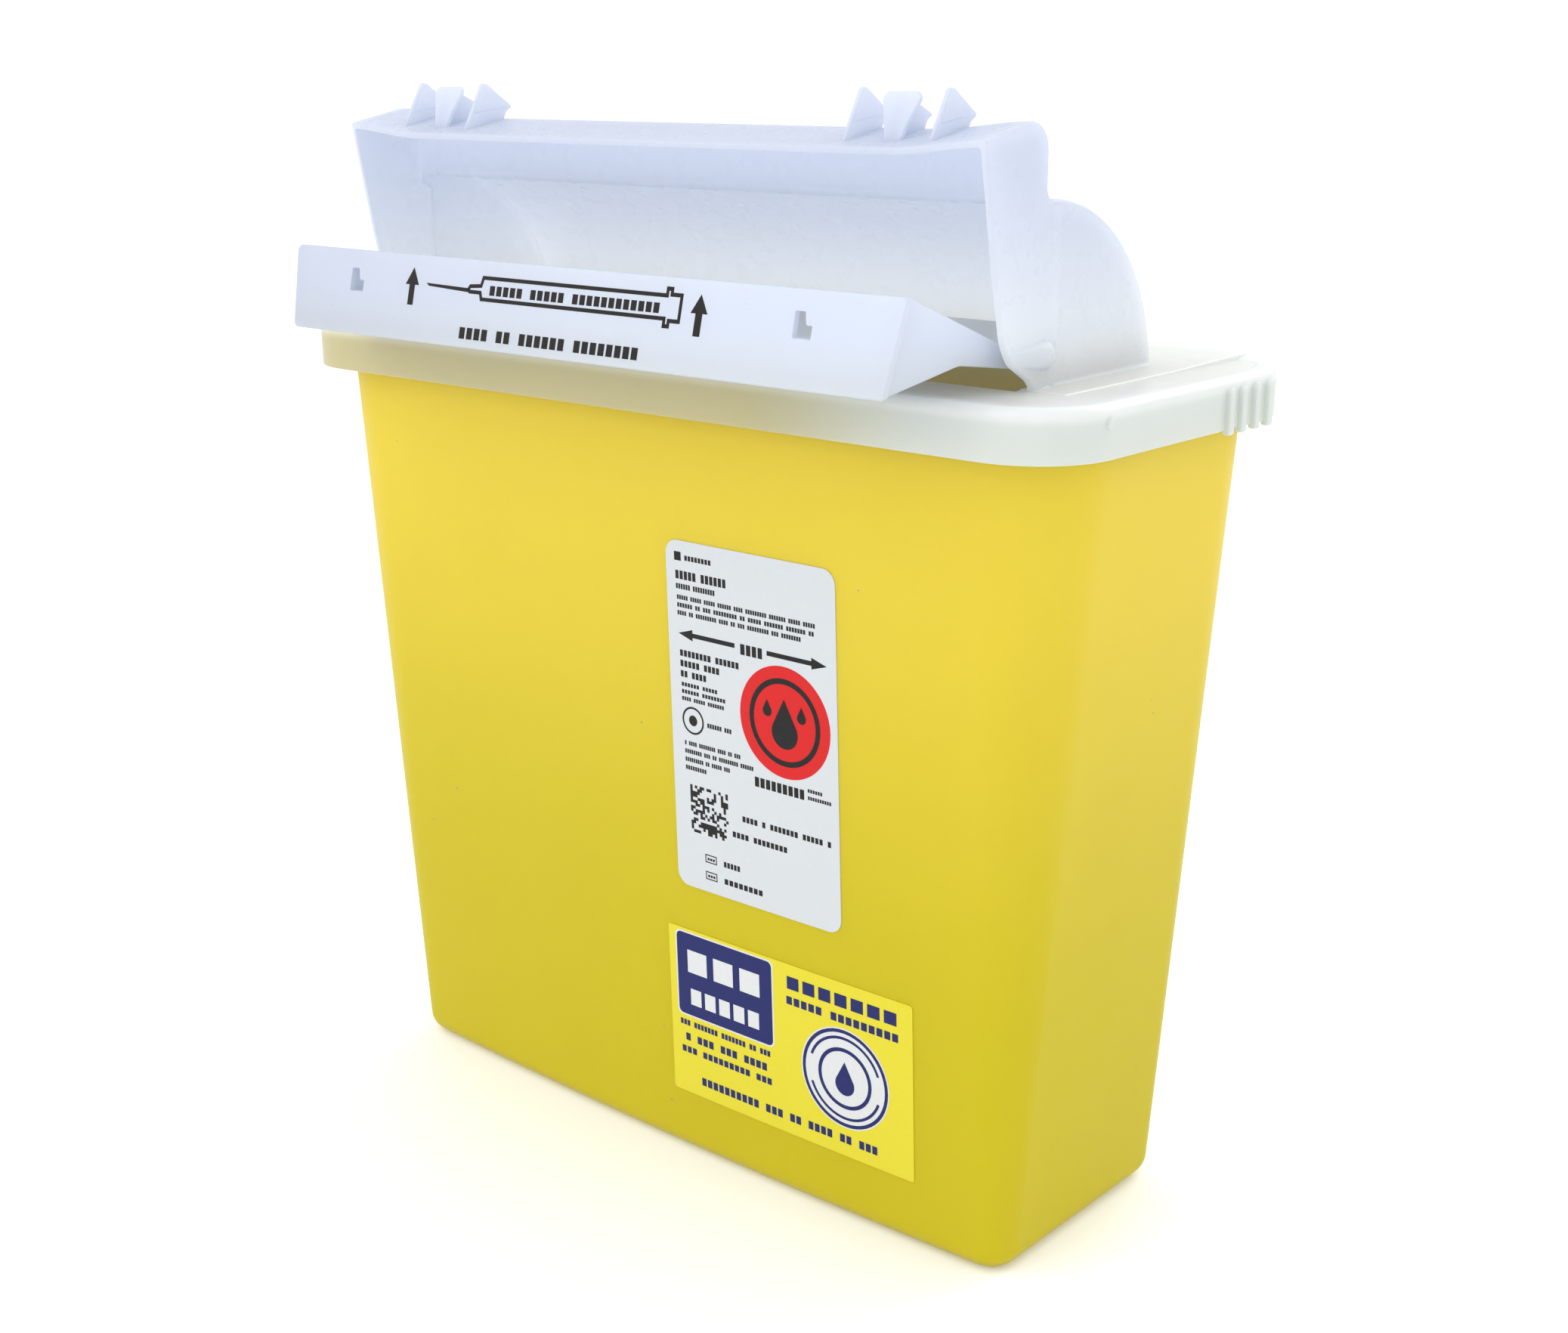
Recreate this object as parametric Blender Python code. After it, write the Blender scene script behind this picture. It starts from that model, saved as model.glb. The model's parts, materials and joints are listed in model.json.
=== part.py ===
"""A free-standing sharps container: a tapered tub, a clip-on cover with a mailbox hood, and a tipping tray.

Lengths below are millimetres, and MM turns them into Blender's metres when a mesh is made.
X runs to the right, -Y is the front, and Z is up. The tub's flat bottom is at z = 0.
"""

import math

import bmesh
import bpy
from mathutils import Vector

MM = 0.001
GAP = 0.3  # between pieces that touch
CUT_PAST = 5.0  # how far a cutter reaches past what it cuts

# Tub: a rounded rectangle that grows from the bottom to the cover
TUB_HEIGHT = 217.6
TUB_BOTTOM_HALF = (114.9, 38.5)
TUB_TOP_HALF = (131.35, 48.2)
TUB_CORNER = (8.4, 21.6)
TUB_FRONT_BOW = 2.9
TUB_BOTTOM_ROUND = 6.0
TUB_WALL = 1.6
TUB_FLOOR = 2.0
FLANGE_HALF = (133.4, 53.4)
FLANGE_LOW, FLANGE_HIGH = 221.5, 224.5
RIM_TOP = 227.0

# Cover: a skirt round the tub's rim and a deck that carries the hood
SKIRT_HALF = (136.5, 56.5)
SKIRT_CORNER = 21.3
SKIRT_BOTTOM = 217.6
SKIRT_TOP = 230.5
SKIRT_ROUND = 2.6
SKIRT_WALL = 1.8
RIM_WIDTH, RIM_SLOPE = 2.0, 1.4
DECK_TOP = 229.9
DECK_THICK = 1.8
OPENING_HALF_X = 107.0
OPENING_FRONT, OPENING_BACK = -31.3, 24.7
COLLAR_WALL, COLLAR_LOW = 1.5, 216.5  # hangs round the opening, under the deck
PLATEAU_HALF_X = 120.0
PLATEAU_PROFILE = ((-29.3, 230.2), (20.0, 230.4), (55.6, 231.5))
PLATEAU_UNDERCUT = 1.5
RIB_YS = (17.1, 23.2, 29.8, 36.2)
RIB_HALF_WIDTH = 1.3
RIB_PROUD = 1.2
RIB_LOW, RIB_HIGH = 216.6, 228.0
RIB_FOOT_ROUND, RIB_TOP_ROUND = 0.4, 1.0
BUMP_Y, BUMP_Z, BUMP_RADIUS, BUMP_PROUD = -35.9, 226.1, 1.6, 0.6
HOOK_X, HOOK_LENGTH, HOOK_DEPTH, HOOK_HEIGHT = 60.0, 30.0, 2.0, 2.2

# Hood: a frame round the mouth, with a quarter-round dome behind it. Profiles are (y, z).
HOOD_HALF_X = 110.8
HOOD_WALL = 1.6
HOOD_FOOT = 230.9
HOOD_MOUTH = ((-29.4, HOOD_FOOT), (-30.8, 232.6), (-38.4, 236.9), (-41.4, 241.9), (-44.8, 257.0))
HOOD_TOP_FRONT = (-50.3, 287.4)
HOOD_TOP_BACK_Z = 292.6
HOOD_BACK_Y = -25.3
HOOD_BACK_ROUND = 6.5
HOOD_SAG = 2.2
HOOD_SAG_SPAN = 28.0
HOOD_SIDE_BACK_Y = -22.3
HOOD_FRONT_ROUND = 0.6
DOME_CENTRE = (-21.8, 227.0)
DOME_RADIUS = 46.4
DOME_START_DEG = 86.0
DOME_INSET = 1.2  # each end of the dome lies this far inside the frame's end
DOME_HALF_X = HOOD_HALF_X - DOME_INSET

# Tipping tray and its pivot
PIVOT = (-25.0, 238.0)
PIN_RADIUS, PIN_HOLE_RADIUS = 2.0, 2.4
PIN_END_X = 111.2
COLLAR_RADIUS, COLLAR_END_X = 3.6, 107.6
BOSS_RADIUS, BOSS_END_X, BOSS_CAP = 3.4, 112.8, 0.8
PIN_CLEAR = 0.5
PANEL_BOTTOM = (-78.6, 233.0)
PANEL_TOP = (-73.3, 255.2)
PANEL_HALF_BOTTOM, PANEL_HALF_TOP = 105.2, 107.9
PANEL_THICK = 1.8
PANEL_CORNER = 3.5
SLOT_X, SLOT_Z = 79.5, 247.2
SLOT_WIDE, SLOT_NARROW = 5.4, 3.1
SLOT_TALL, SLOT_STEP = 6.0, 2.7
FLOOR_THICK = 1.8
FLOOR_KNEE = (-51.3, 237.8)
FLOOR_UNDER_PIVOT_Z = 235.4
FLOOR_BACK = (18.7, 236.8)
FLOOR_CLEAR = 0.9  # behind the panel
ARM_THICK = 1.6
ARM_CLEAR = 0.8  # behind the panel
ARM_RISE, ARM_DROP = 0.6, 1.2
ARM_HEEL_Y = -30.0
ARM_SHOULDER = (-36.3, 241.4)
ARM_EYE_RADIUS, ARM_EYE_DEG = 3.6, (-80.0, 75.0)

# Lock tabs on the hood: three upright plates on each side, half an inch apart
TAB_GROUP_X, TAB_PITCH = 79.5, 12.7
TAB_THICK = 1.6
TAB_APEX = (-38.9, 298.9)
TAB_APEX_ROUND = 1.4
TAB_CATCH = (-28.7, 292.1)
TAB_UNDERCUT = (2.1, 1.3)
TAB_FOOT_YS = (-46.2, -32.0)
PADDLE_FOOT_HALF, PADDLE_TOP_HALF = 2.4, 6.2
PADDLE_FOOT_Y, PADDLE_TOP_Y, PADDLE_TOP_Z = -43.8, -39.5, 297.5
PADDLE_APEX = (-38.3, 296.8)  # of the plate behind the paddle

# Labels on the front: x from left to right, then z from bottom to top
FRONT_LABEL = (8.1, 66.0, 85.0, 183.4)
STICKER = (3.35, 88.8, 20.0, 71.4)
LABEL_THICK = 0.3
LABEL_CORNER, STICKER_CORNER = 4.0, 0.8


def clear_scene():
    for item in list(bpy.data.objects):
        bpy.data.objects.remove(item)


def plastic(name, colour, roughness, alpha=1.0):
    """A moulded plastic or printed film in one colour."""
    material = bpy.data.materials.new(name)
    material.use_nodes = True
    shader = material.node_tree.nodes["Principled BSDF"]
    shader.inputs["Base Color"].default_value = (*colour, 1.0)
    shader.inputs["Roughness"].default_value = roughness
    shader.inputs["Metallic"].default_value = 0.0
    shader.inputs["Alpha"].default_value = alpha
    return material


def loft(name, rings, material, parent=None, smooth_below=30.0):
    """One closed body through rings of equal length, with a flat cap on the first and the last."""
    origin = Vector(parent.location) if parent else Vector((0, 0, 0))
    sheet = bmesh.new()
    rows = [[sheet.verts.new(Vector(point) * MM - origin) for point in ring] for ring in rings]
    for low, high in zip(rows, rows[1:]):
        for i in range(len(low)):
            j = (i + 1) % len(low)
            sheet.faces.new((low[i], low[j], high[j], high[i]))
    sheet.faces.new(rows[0][::-1])
    sheet.faces.new(rows[-1])
    bmesh.ops.recalc_face_normals(sheet, faces=sheet.faces)
    mesh = bpy.data.meshes.new(name)
    sheet.to_mesh(mesh)
    sheet.free()
    mesh.shade_smooth()
    mesh.set_sharp_from_angle(angle=math.radians(smooth_below))
    mesh.materials.append(material)
    piece = bpy.data.objects.new(name, mesh)
    bpy.context.scene.collection.objects.link(piece)
    piece.parent = parent
    return piece


def combine(piece, helper, operation):
    """Unites helper with piece or cuts it out, and keeps helper as a hidden guide."""
    helper.hide_render = True
    helper.display_type = "WIRE"
    step = piece.modifiers.new(helper.name, "BOOLEAN")
    step.operation = operation
    step.solver = "EXACT"
    step.object = helper


def filleted(corners, steps=5):
    """A closed outline from (a, b, radius) corners, with an arc at each corner that has a radius."""
    outline = []
    for i, (a, b, radius) in enumerate(corners):
        corner = Vector((a, b))
        if not radius:
            outline.append(tuple(corner))
            continue
        before = (Vector(corners[i - 1][:2]) - corner).normalized()
        after = (Vector(corners[(i + 1) % len(corners)][:2]) - corner).normalized()
        half_turn = before.angle(after) / 2
        centre = corner + (before + after).normalized() * (radius / math.sin(half_turn))
        start = corner + before * (radius / math.tan(half_turn)) - centre
        sweep = start.angle_signed(corner + after * (radius / math.tan(half_turn)) - centre)
        for k in range(steps + 1):
            turn = -sweep * k / steps
            outline.append(
                (
                    centre.x + start.x * math.cos(turn) - start.y * math.sin(turn),
                    centre.y + start.x * math.sin(turn) + start.y * math.cos(turn),
                )
            )
    return outline


def arc(centre, radius, start_deg, end_deg, steps):
    turns = [math.radians(start_deg + (end_deg - start_deg) * k / steps) for k in range(steps + 1)]
    return [(centre[0] + radius * math.cos(t), centre[1] + radius * math.sin(t)) for t in turns]


def rounded_ring(half, corner, z, bow=0.0, corner_steps=6, side_steps=8):
    """A level rounded rectangle round the Z axis. Its front side bulges by bow in the middle."""
    half_x, half_y = half
    ring = []
    for quarter, (sign_x, sign_y) in enumerate(((1, 1), (-1, 1), (-1, -1), (1, -1))):
        centre = (sign_x * (half_x - corner), sign_y * (half_y - corner))
        ring += arc(centre, corner, 90 * quarter, 90 * quarter + 90, corner_steps)
        if quarter % 2 == 0:
            straight = half_x - corner
            for k in range(1, side_steps):
                ring.append((sign_x * straight * (1 - 2 * k / side_steps), sign_y * half_y))
    if bow:
        ring = [(x, y - (y < 0) * bow * (1 - (x / half_x) ** 2)) for x, y in ring]
    return [(x, y, z) for x, y in ring]


def along_x(outline, x_first, x_last):
    """A (y, z) outline placed at two x positions."""
    return [[(x, y, z) for y, z in outline] for x in (x_first, x_last)]


def disc(name, radius, x_first, x_last, material, parent=None, centre=PIVOT, sides=24):
    circle = arc(centre, radius, 0, 360 - 360 / sides, sides - 1)
    return loft(name, along_x(circle, x_first, x_last), material, parent)


def mix(low, high, share):
    return low + (high - low) * share


# Tub


def tub_size(z):
    """Half width, half depth, corner radius and front bow of the tub's outside at a height."""
    share = z / TUB_HEIGHT
    half_x = mix(TUB_BOTTOM_HALF[0], TUB_TOP_HALF[0], share)
    half_y = mix(TUB_BOTTOM_HALF[1], TUB_TOP_HALF[1], share)
    return half_x, half_y, mix(*TUB_CORNER, min(share, 1.0)), TUB_FRONT_BOW * max(1 - share, 0.0)


def tub_ring(z, inset=0.0):
    half_x, half_y, corner, bow = tub_size(z)
    return rounded_ring((half_x - inset, half_y - inset), max(corner - inset, 1.0), z, bow)


def front_face_y(x, z):
    half_x, half_y, _, bow = tub_size(z)
    return -half_y - bow * (1 - (x / half_x) ** 2)


def bottom_round(radius, floor, wall, steps=4):
    """Rings of a rounded bottom edge, from the flat bottom up to the straight wall."""
    rings = []
    for k in range(steps + 1):
        turn = math.radians(90 * k / steps)
        rings.append((floor + radius * (1 - math.cos(turn)), wall + radius * (1 - math.sin(turn))))
    return [tub_ring(z, inset) for z, inset in rings]


def make_tub(material):
    outside = bottom_round(TUB_BOTTOM_ROUND, 0.0, 0.0)
    outside += [tub_ring(z) for z in (TUB_HEIGHT / 3, TUB_HEIGHT * 2 / 3, FLANGE_LOW)]
    flange = [rounded_ring(FLANGE_HALF, TUB_CORNER[1], z) for z in (FLANGE_LOW, FLANGE_HIGH)]
    top = [tub_ring(FLANGE_HIGH), tub_ring(RIM_TOP), tub_ring(RIM_TOP, TUB_WALL)]
    inside = [tub_ring(z, TUB_WALL) for z in (TUB_HEIGHT * 2 / 3, TUB_HEIGHT / 3)]
    inside += bottom_round(TUB_BOTTOM_ROUND - TUB_WALL, TUB_FLOOR, TUB_WALL)[::-1]
    return loft("tub", outside + flange + top + inside, material)


def make_label(name, place, corner, material, corner_steps=4, columns=8, rows=6):
    """A thin film with rounded corners that follows the tub's bowed front."""
    left, right, low, high = place
    insets = [corner * (1 - math.cos(math.radians(90 * k / corner_steps))) for k in range(corner_steps)]
    middle = [mix(left + corner, right - corner, k / columns) for k in range(columns + 1)]
    stations = [left + i for i in insets] + middle + [right - i for i in insets[::-1]]
    rings = []
    for x in stations:
        reach = max(corner - min(x - left, right - x), 0.0)
        cut = corner - math.sqrt(corner**2 - reach**2)
        heights = [mix(low + cut, high - cut, k / rows) for k in range(rows + 1)]
        back = [(x, front_face_y(x, z) - GAP, z) for z in heights]
        front = [(x, front_face_y(x, z) - GAP - LABEL_THICK, z) for z in heights[::-1]]
        rings.append(back + front)
    return loft(name, rings, material)


# Cover


def skirt_ring(inset, z):
    return rounded_ring((SKIRT_HALF[0] - inset, SKIRT_HALF[1] - inset), SKIRT_CORNER - inset, z)


def make_skirt_and_deck(material):
    outside = [skirt_ring(0.0, SKIRT_BOTTOM)]
    for k in range(5):
        turn = math.radians(90 * k / 4)
        inset = SKIRT_ROUND * (1 - math.cos(turn))
        outside.append(skirt_ring(inset, SKIRT_TOP - SKIRT_ROUND * (1 - math.sin(turn))))
    rim_inside = SKIRT_ROUND + RIM_WIDTH
    deck = [skirt_ring(rim_inside, SKIRT_TOP), skirt_ring(rim_inside + RIM_SLOPE, DECK_TOP)]
    cover = loft("lid_cover", outside + deck, material)
    hollow = [skirt_ring(SKIRT_WALL, z) for z in (SKIRT_BOTTOM - CUT_PAST, DECK_TOP - DECK_THICK)]
    combine(cover, loft("cover_hollow", hollow, material), "DIFFERENCE")
    return cover


def add_plateau(cover, material):
    """The raised part of the deck that carries the hood and rises towards the back."""
    inside_deck = DECK_TOP - DECK_THICK / 2
    (front, _), (back, _) = PLATEAU_PROFILE[0], PLATEAU_PROFILE[-1]
    outline = [(front, inside_deck), (back - PLATEAU_UNDERCUT, inside_deck), *PLATEAU_PROFILE[::-1]]
    plateau = loft("plateau", along_x(outline, -PLATEAU_HALF_X, PLATEAU_HALF_X), material)
    combine(cover, plateau, "UNION")


def add_skirt_ribs(cover, material):
    """Grip ribs near the back of each short side, and a round stop near the front."""
    buried = SKIRT_HALF[0] - SKIRT_WALL / 2
    for sign, side in ((-1, "left"), (1, "right")):
        for number, y in enumerate(RIB_YS):
            front, back = y - RIB_HALF_WIDTH, y + RIB_HALF_WIDTH
            corners = [(front, RIB_LOW, RIB_FOOT_ROUND), (back, RIB_LOW, RIB_FOOT_ROUND)]
            corners += [(back, RIB_HIGH, RIB_TOP_ROUND), (front, RIB_HIGH, RIB_TOP_ROUND)]
            ends = sign * buried, sign * (SKIRT_HALF[0] + RIB_PROUD)
            rib = loft(f"rib_{side}_{number}", along_x(filleted(corners, 3), *ends), material)
            combine(cover, rib, "UNION")
        ends = sign * buried, sign * (SKIRT_HALF[0] + BUMP_PROUD)
        bump = disc(f"bump_{side}", BUMP_RADIUS, *ends, material, centre=(BUMP_Y, BUMP_Z), sides=12)
        combine(cover, bump, "UNION")


def opening_block(name, margin, low, high, material):
    """A block as large as the opening in the deck, or larger by a margin on every side."""
    front, back, half_x = OPENING_FRONT - margin, OPENING_BACK + margin, OPENING_HALF_X + margin
    outline = ((front, low), (back, low), (back, high), (front, high))
    return loft(name, along_x(outline, -half_x, half_x), material)


def make_cover(material):
    cover = make_skirt_and_deck(material)
    add_plateau(cover, material)
    add_skirt_ribs(cover, material)
    collar_ends = COLLAR_LOW, DECK_TOP - DECK_THICK / 2
    combine(cover, opening_block("collar", COLLAR_WALL, *collar_ends, material), "UNION")
    opening_ends = COLLAR_LOW - CUT_PAST, DECK_TOP + CUT_PAST
    combine(cover, opening_block("opening", 0.0, *opening_ends, material), "DIFFERENCE")
    return cover


def make_snap_hooks(material):
    """Ledges under the skirt that hold the tub's rim. They stay 0.3 mm clear of both."""
    reach = SKIRT_HALF[1] - SKIRT_WALL - GAP
    high = FLANGE_LOW - GAP
    for sign_x, side in ((-1, "left"), (1, "right")):
        for sign_y, end in ((-1, "front"), (1, "back")):
            xs = sorted(sign_x * x for x in (HOOK_X - HOOK_LENGTH / 2, HOOK_X + HOOK_LENGTH / 2))
            outline = ((reach, high), (reach - HOOK_DEPTH, high), (reach, high - HOOK_HEIGHT))
            outline = [(sign_y * y, z) for y, z in outline]
            loft(f"snap_hook_{end}_{side}", along_x(outline, *xs), material)


# Hood


def hood_top_drop(x):
    """How far the hood's top lies below its ends: flat in the middle, rising to each end."""
    share = min(max((HOOD_HALF_X - abs(x)) / HOOD_SAG_SPAN, 0.0), 1.0)
    return HOOD_SAG * share * share * (3 - 2 * share)


def hood_top_z(x, y):
    """Height of the hood's sloping top."""
    front_y, front_z = HOOD_TOP_FRONT
    share = (y - front_y) / (HOOD_BACK_Y - front_y)
    return mix(front_z, HOOD_TOP_BACK_Z, share) - hood_top_drop(x)


def hood_outline(x):
    """The hood's outer side profile, from the foot of the mouth up and over to the dome's foot."""
    dome_foot = math.degrees(math.asin((HOOD_FOOT - DOME_CENTRE[1]) / DOME_RADIUS))
    dome = arc(DOME_CENTRE, DOME_RADIUS, DOME_START_DEG, dome_foot, 16)
    corners = [
        *[(y, z, 0) for y, z in HOOD_MOUTH],
        (HOOD_TOP_FRONT[0], hood_top_z(x, HOOD_TOP_FRONT[0]), HOOD_FRONT_ROUND),
        (HOOD_BACK_Y, hood_top_z(x, HOOD_BACK_Y), HOOD_BACK_ROUND),
        (HOOD_BACK_Y, dome[0][1], 2.0),
        (*dome[0], 0),
    ]
    return filleted(corners)[:-1] + dome


def dome_crease():
    """Where the frame's back wall meets the ceiling of the dome, seen from inside."""
    dome = arc(DOME_CENTRE, DOME_RADIUS - HOOD_WALL, DOME_START_DEG, 0.0, 16)
    return HOOD_BACK_Y - HOOD_WALL, dome


def frame_ceiling(x):
    """Corners of the space inside the frame, from far in front of the mouth to its back wall."""
    far, back = HOOD_TOP_FRONT[0] - 4 * CUT_PAST, HOOD_BACK_Y - HOOD_WALL
    return [
        (far, HOOD_FOOT - CUT_PAST, 0),
        (far, hood_top_z(x, far) - HOOD_WALL, 0),
        (back, hood_top_z(x, back) - HOOD_WALL, HOOD_BACK_ROUND - HOOD_WALL),
    ]


def whole_hollow(x):
    """The space inside the frame and the dome, open through the mouth and the foot."""
    back, dome = dome_crease()
    corners = [*frame_ceiling(x), (back, dome[0][1] + 0.4, 1.0), (*dome[0], 0)]
    return filleted(corners)[:-1] + dome + [(dome[-1][0], HOOD_FOOT - CUT_PAST)]


def frame_hollow(x):
    """The space inside the frame only, which reaches further sideways than the dome's."""
    back, dome = dome_crease()
    side_back = HOOD_SIDE_BACK_Y - HOOD_WALL
    crease = [(back, dome[0][1] - HOOD_WALL, 0), (side_back, dome[0][1] - 2 * HOOD_WALL, 0)]
    return filleted([*frame_ceiling(x), *crease, (side_back, HOOD_FOOT - CUT_PAST, 0)])


def hood_stations(half_x):
    rise = [half_x - HOOD_SAG_SPAN * k / 6 for k in range(7)]
    return [-x for x in rise] + rise[::-1]


def along_hood(name, outline_at, half_x, material):
    rings = [[(x, y, z) for y, z in outline_at(x)] for x in hood_stations(half_x)]
    return loft(name, rings, material)


def make_hood(material):
    hood = along_hood("hood_shell", hood_outline, HOOD_HALF_X, material)
    combine(hood, along_hood("whole_hollow", whole_hollow, DOME_HALF_X - HOOD_WALL, material), "DIFFERENCE")
    combine(hood, along_hood("frame_hollow", frame_hollow, HOOD_HALF_X - HOOD_WALL, material), "DIFFERENCE")
    low, high = HOOD_FOOT - CUT_PAST, HOOD_TOP_BACK_Z
    back = DOME_CENTRE[0] + DOME_RADIUS + CUT_PAST
    step = ((HOOD_SIDE_BACK_Y, low), (back, low), (back, high), (HOOD_SIDE_BACK_Y, high))
    for sign, side in ((-1, "left"), (1, "right")):
        ends = sign * DOME_HALF_X, sign * (HOOD_HALF_X + CUT_PAST)
        combine(hood, loft(f"dome_step_{side}", along_x(step, *ends), material), "DIFFERENCE")
    reach = HOOD_HALF_X + CUT_PAST
    combine(hood, disc("pin_holes", PIN_HOLE_RADIUS, -reach, reach, material), "DIFFERENCE")
    return hood


def make_pivot_bosses(material):
    """Round caps on the hood's sides, each with a blind pocket for the end of a pivot pin."""
    for sign, side in ((-1, "left"), (1, "right")):
        start = HOOD_HALF_X + GAP
        boss = disc(f"pivot_boss_{side}", BOSS_RADIUS, sign * start, sign * BOSS_END_X, material)
        ends = sign * (start - CUT_PAST), sign * (BOSS_END_X - BOSS_CAP)
        pocket = disc(f"pocket_{side}", PIN_HOLE_RADIUS, *ends, material)
        combine(boss, pocket, "DIFFERENCE")


def tab_outline(x, front_y, apex):
    """Side profile of an arrow-shaped lock tab, standing on the hood's top."""
    corners = [(y, hood_top_z(x, y) + GAP, 0) for y in (front_y, TAB_FOOT_YS[1])]
    undercut = (TAB_CATCH[0] - TAB_UNDERCUT[0], TAB_CATCH[1] - TAB_UNDERCUT[1])
    return filleted([*corners, (*undercut, 0), (*TAB_CATCH, 0), (*apex, TAB_APEX_ROUND)])


def paddle_rings(x):
    """A flared blade that leans back, from its narrow foot to its wide top."""
    rings = []
    for shift in (0.0, TAB_THICK):
        foot_y, top_y = PADDLE_FOOT_Y + shift, PADDLE_TOP_Y + shift
        foot_z = hood_top_z(x, foot_y) + GAP
        foot = [(x + across, foot_y, foot_z) for across in (-PADDLE_FOOT_HALF, PADDLE_FOOT_HALF)]
        top = [(x + across, top_y, PADDLE_TOP_Z) for across in (PADDLE_TOP_HALF, -PADDLE_TOP_HALF)]
        rings.append(foot + top)
    return rings


def make_lock_tabs(material):
    half = TAB_THICK / 2
    for sign, side in ((-1, "left"), (1, "right")):
        for step, place in ((-1, "inner"), (1, "outer")):
            x = sign * (TAB_GROUP_X + step * TAB_PITCH)
            outline = tab_outline(x, TAB_FOOT_YS[0], TAB_APEX)
            loft(f"lock_tab_{side}_{place}", along_x(outline, x - half, x + half), material)
        x = sign * TAB_GROUP_X
        outline = tab_outline(x, PADDLE_FOOT_Y + half, PADDLE_APEX)
        tab = loft(f"lock_paddle_{side}", along_x(outline, x - half, x + half), material)
        combine(tab, loft(f"paddle_blade_{side}", paddle_rings(x), material), "UNION")


# Tipping tray


def panel_end_x(z):
    share = (z - PANEL_BOTTOM[1]) / (PANEL_TOP[1] - PANEL_BOTTOM[1])
    return mix(PANEL_HALF_BOTTOM, PANEL_HALF_TOP, share)


def make_panel(material, pivot):
    """The leaning front panel, with a stepped slot near each end for the lock tabs."""
    bottom, top = Vector(PANEL_BOTTOM), Vector(PANEL_TOP)
    lean = (top - bottom).normalized()
    inward = Vector((lean.y, -lean.x)) * PANEL_THICK
    outline = filleted(
        [
            (-PANEL_HALF_BOTTOM, PANEL_BOTTOM[1], PANEL_CORNER),
            (PANEL_HALF_BOTTOM, PANEL_BOTTOM[1], PANEL_CORNER),
            (PANEL_HALF_TOP, PANEL_TOP[1], PANEL_CORNER),
            (-PANEL_HALF_TOP, PANEL_TOP[1], PANEL_CORNER),
        ]
    )
    rings = []
    for depth in (0.0, 1.0):
        ring = []
        for x, z in outline:
            y = bottom.x + (z - bottom.y) * lean.x / lean.y
            ring.append((x, y + inward.x * depth, z + inward.y * depth))
        rings.append(ring)
    panel = loft("tray_panel", rings, material, pivot)
    for sign, side in ((-1, "left"), (1, "right")):
        low, high = SLOT_Z - SLOT_TALL / 2, SLOT_Z + SLOT_TALL / 2
        left, right = sign * SLOT_X - SLOT_WIDE / 2, sign * SLOT_X + SLOT_WIDE / 2
        step_x, step_z = left + SLOT_NARROW, low + SLOT_STEP
        outline = ((left, low), (right, low), (right, step_z), (step_x, step_z), (step_x, high), (left, high))
        ends = PANEL_BOTTOM[0] - CUT_PAST, PANEL_TOP[0] + CUT_PAST
        rings = [[(x, y, z) for x, z in outline] for y in ends]
        combine(panel, loft(f"slot_{side}", rings, material, pivot), "DIFFERENCE")
    return panel


def make_floor(material, pivot):
    """The tray's floor, from behind the panel, over the pivot and back under the dome."""
    front = PANEL_BOTTOM[0] + PANEL_THICK + FLOOR_CLEAR
    share = (front - PANEL_BOTTOM[0]) / (FLOOR_KNEE[0] - PANEL_BOTTOM[0])
    front_z = mix(PANEL_BOTTOM[1], FLOOR_KNEE[1], share)
    under = [(front, front_z), FLOOR_KNEE, (PIVOT[0], FLOOR_UNDER_PIVOT_Z), FLOOR_BACK]
    over = [(y, z + FLOOR_THICK) for y, z in under[::-1]]
    half_x = PANEL_HALF_BOTTOM - ARM_THICK - GAP
    return loft("tray_floor", along_x(under + over, -half_x, half_x), material, pivot)


def make_arms(material, pivot):
    """Side plates from the panel back to the pivot. They lean out with the panel's ends."""
    front_low = (PANEL_BOTTOM[0] + PANEL_THICK + ARM_CLEAR, PANEL_BOTTOM[1] + ARM_RISE)
    front_high = (PANEL_TOP[0] + PANEL_THICK + ARM_CLEAR, PANEL_TOP[1] - ARM_DROP)
    eye = arc(PIVOT, ARM_EYE_RADIUS, *ARM_EYE_DEG, 8)
    heel = (ARM_HEEL_Y, PIVOT[1] - ARM_EYE_RADIUS)
    outline = [front_low, FLOOR_KNEE, heel, *eye, ARM_SHOULDER, front_high]
    for sign, side in ((-1, "left"), (1, "right")):
        rings = [[(sign * (panel_end_x(z) - depth), y, z) for y, z in outline] for depth in (0.0, ARM_THICK)]
        loft(f"tray_arm_{side}", rings, material, pivot)


def make_pins(material, pivot):
    """Pivot pins with a spacing collar. Each turns in its hole in the hood's side."""
    start = panel_end_x(PIVOT[1]) + PIN_CLEAR
    for sign, side in ((-1, "left"), (1, "right")):
        pin = disc(f"pivot_pin_{side}", COLLAR_RADIUS, sign * start, sign * COLLAR_END_X, material, pivot)
        ends = sign * (start + COLLAR_END_X) / 2, sign * PIN_END_X
        combine(pin, disc(f"journal_{side}", PIN_RADIUS, *ends, material, pivot), "UNION")


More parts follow.
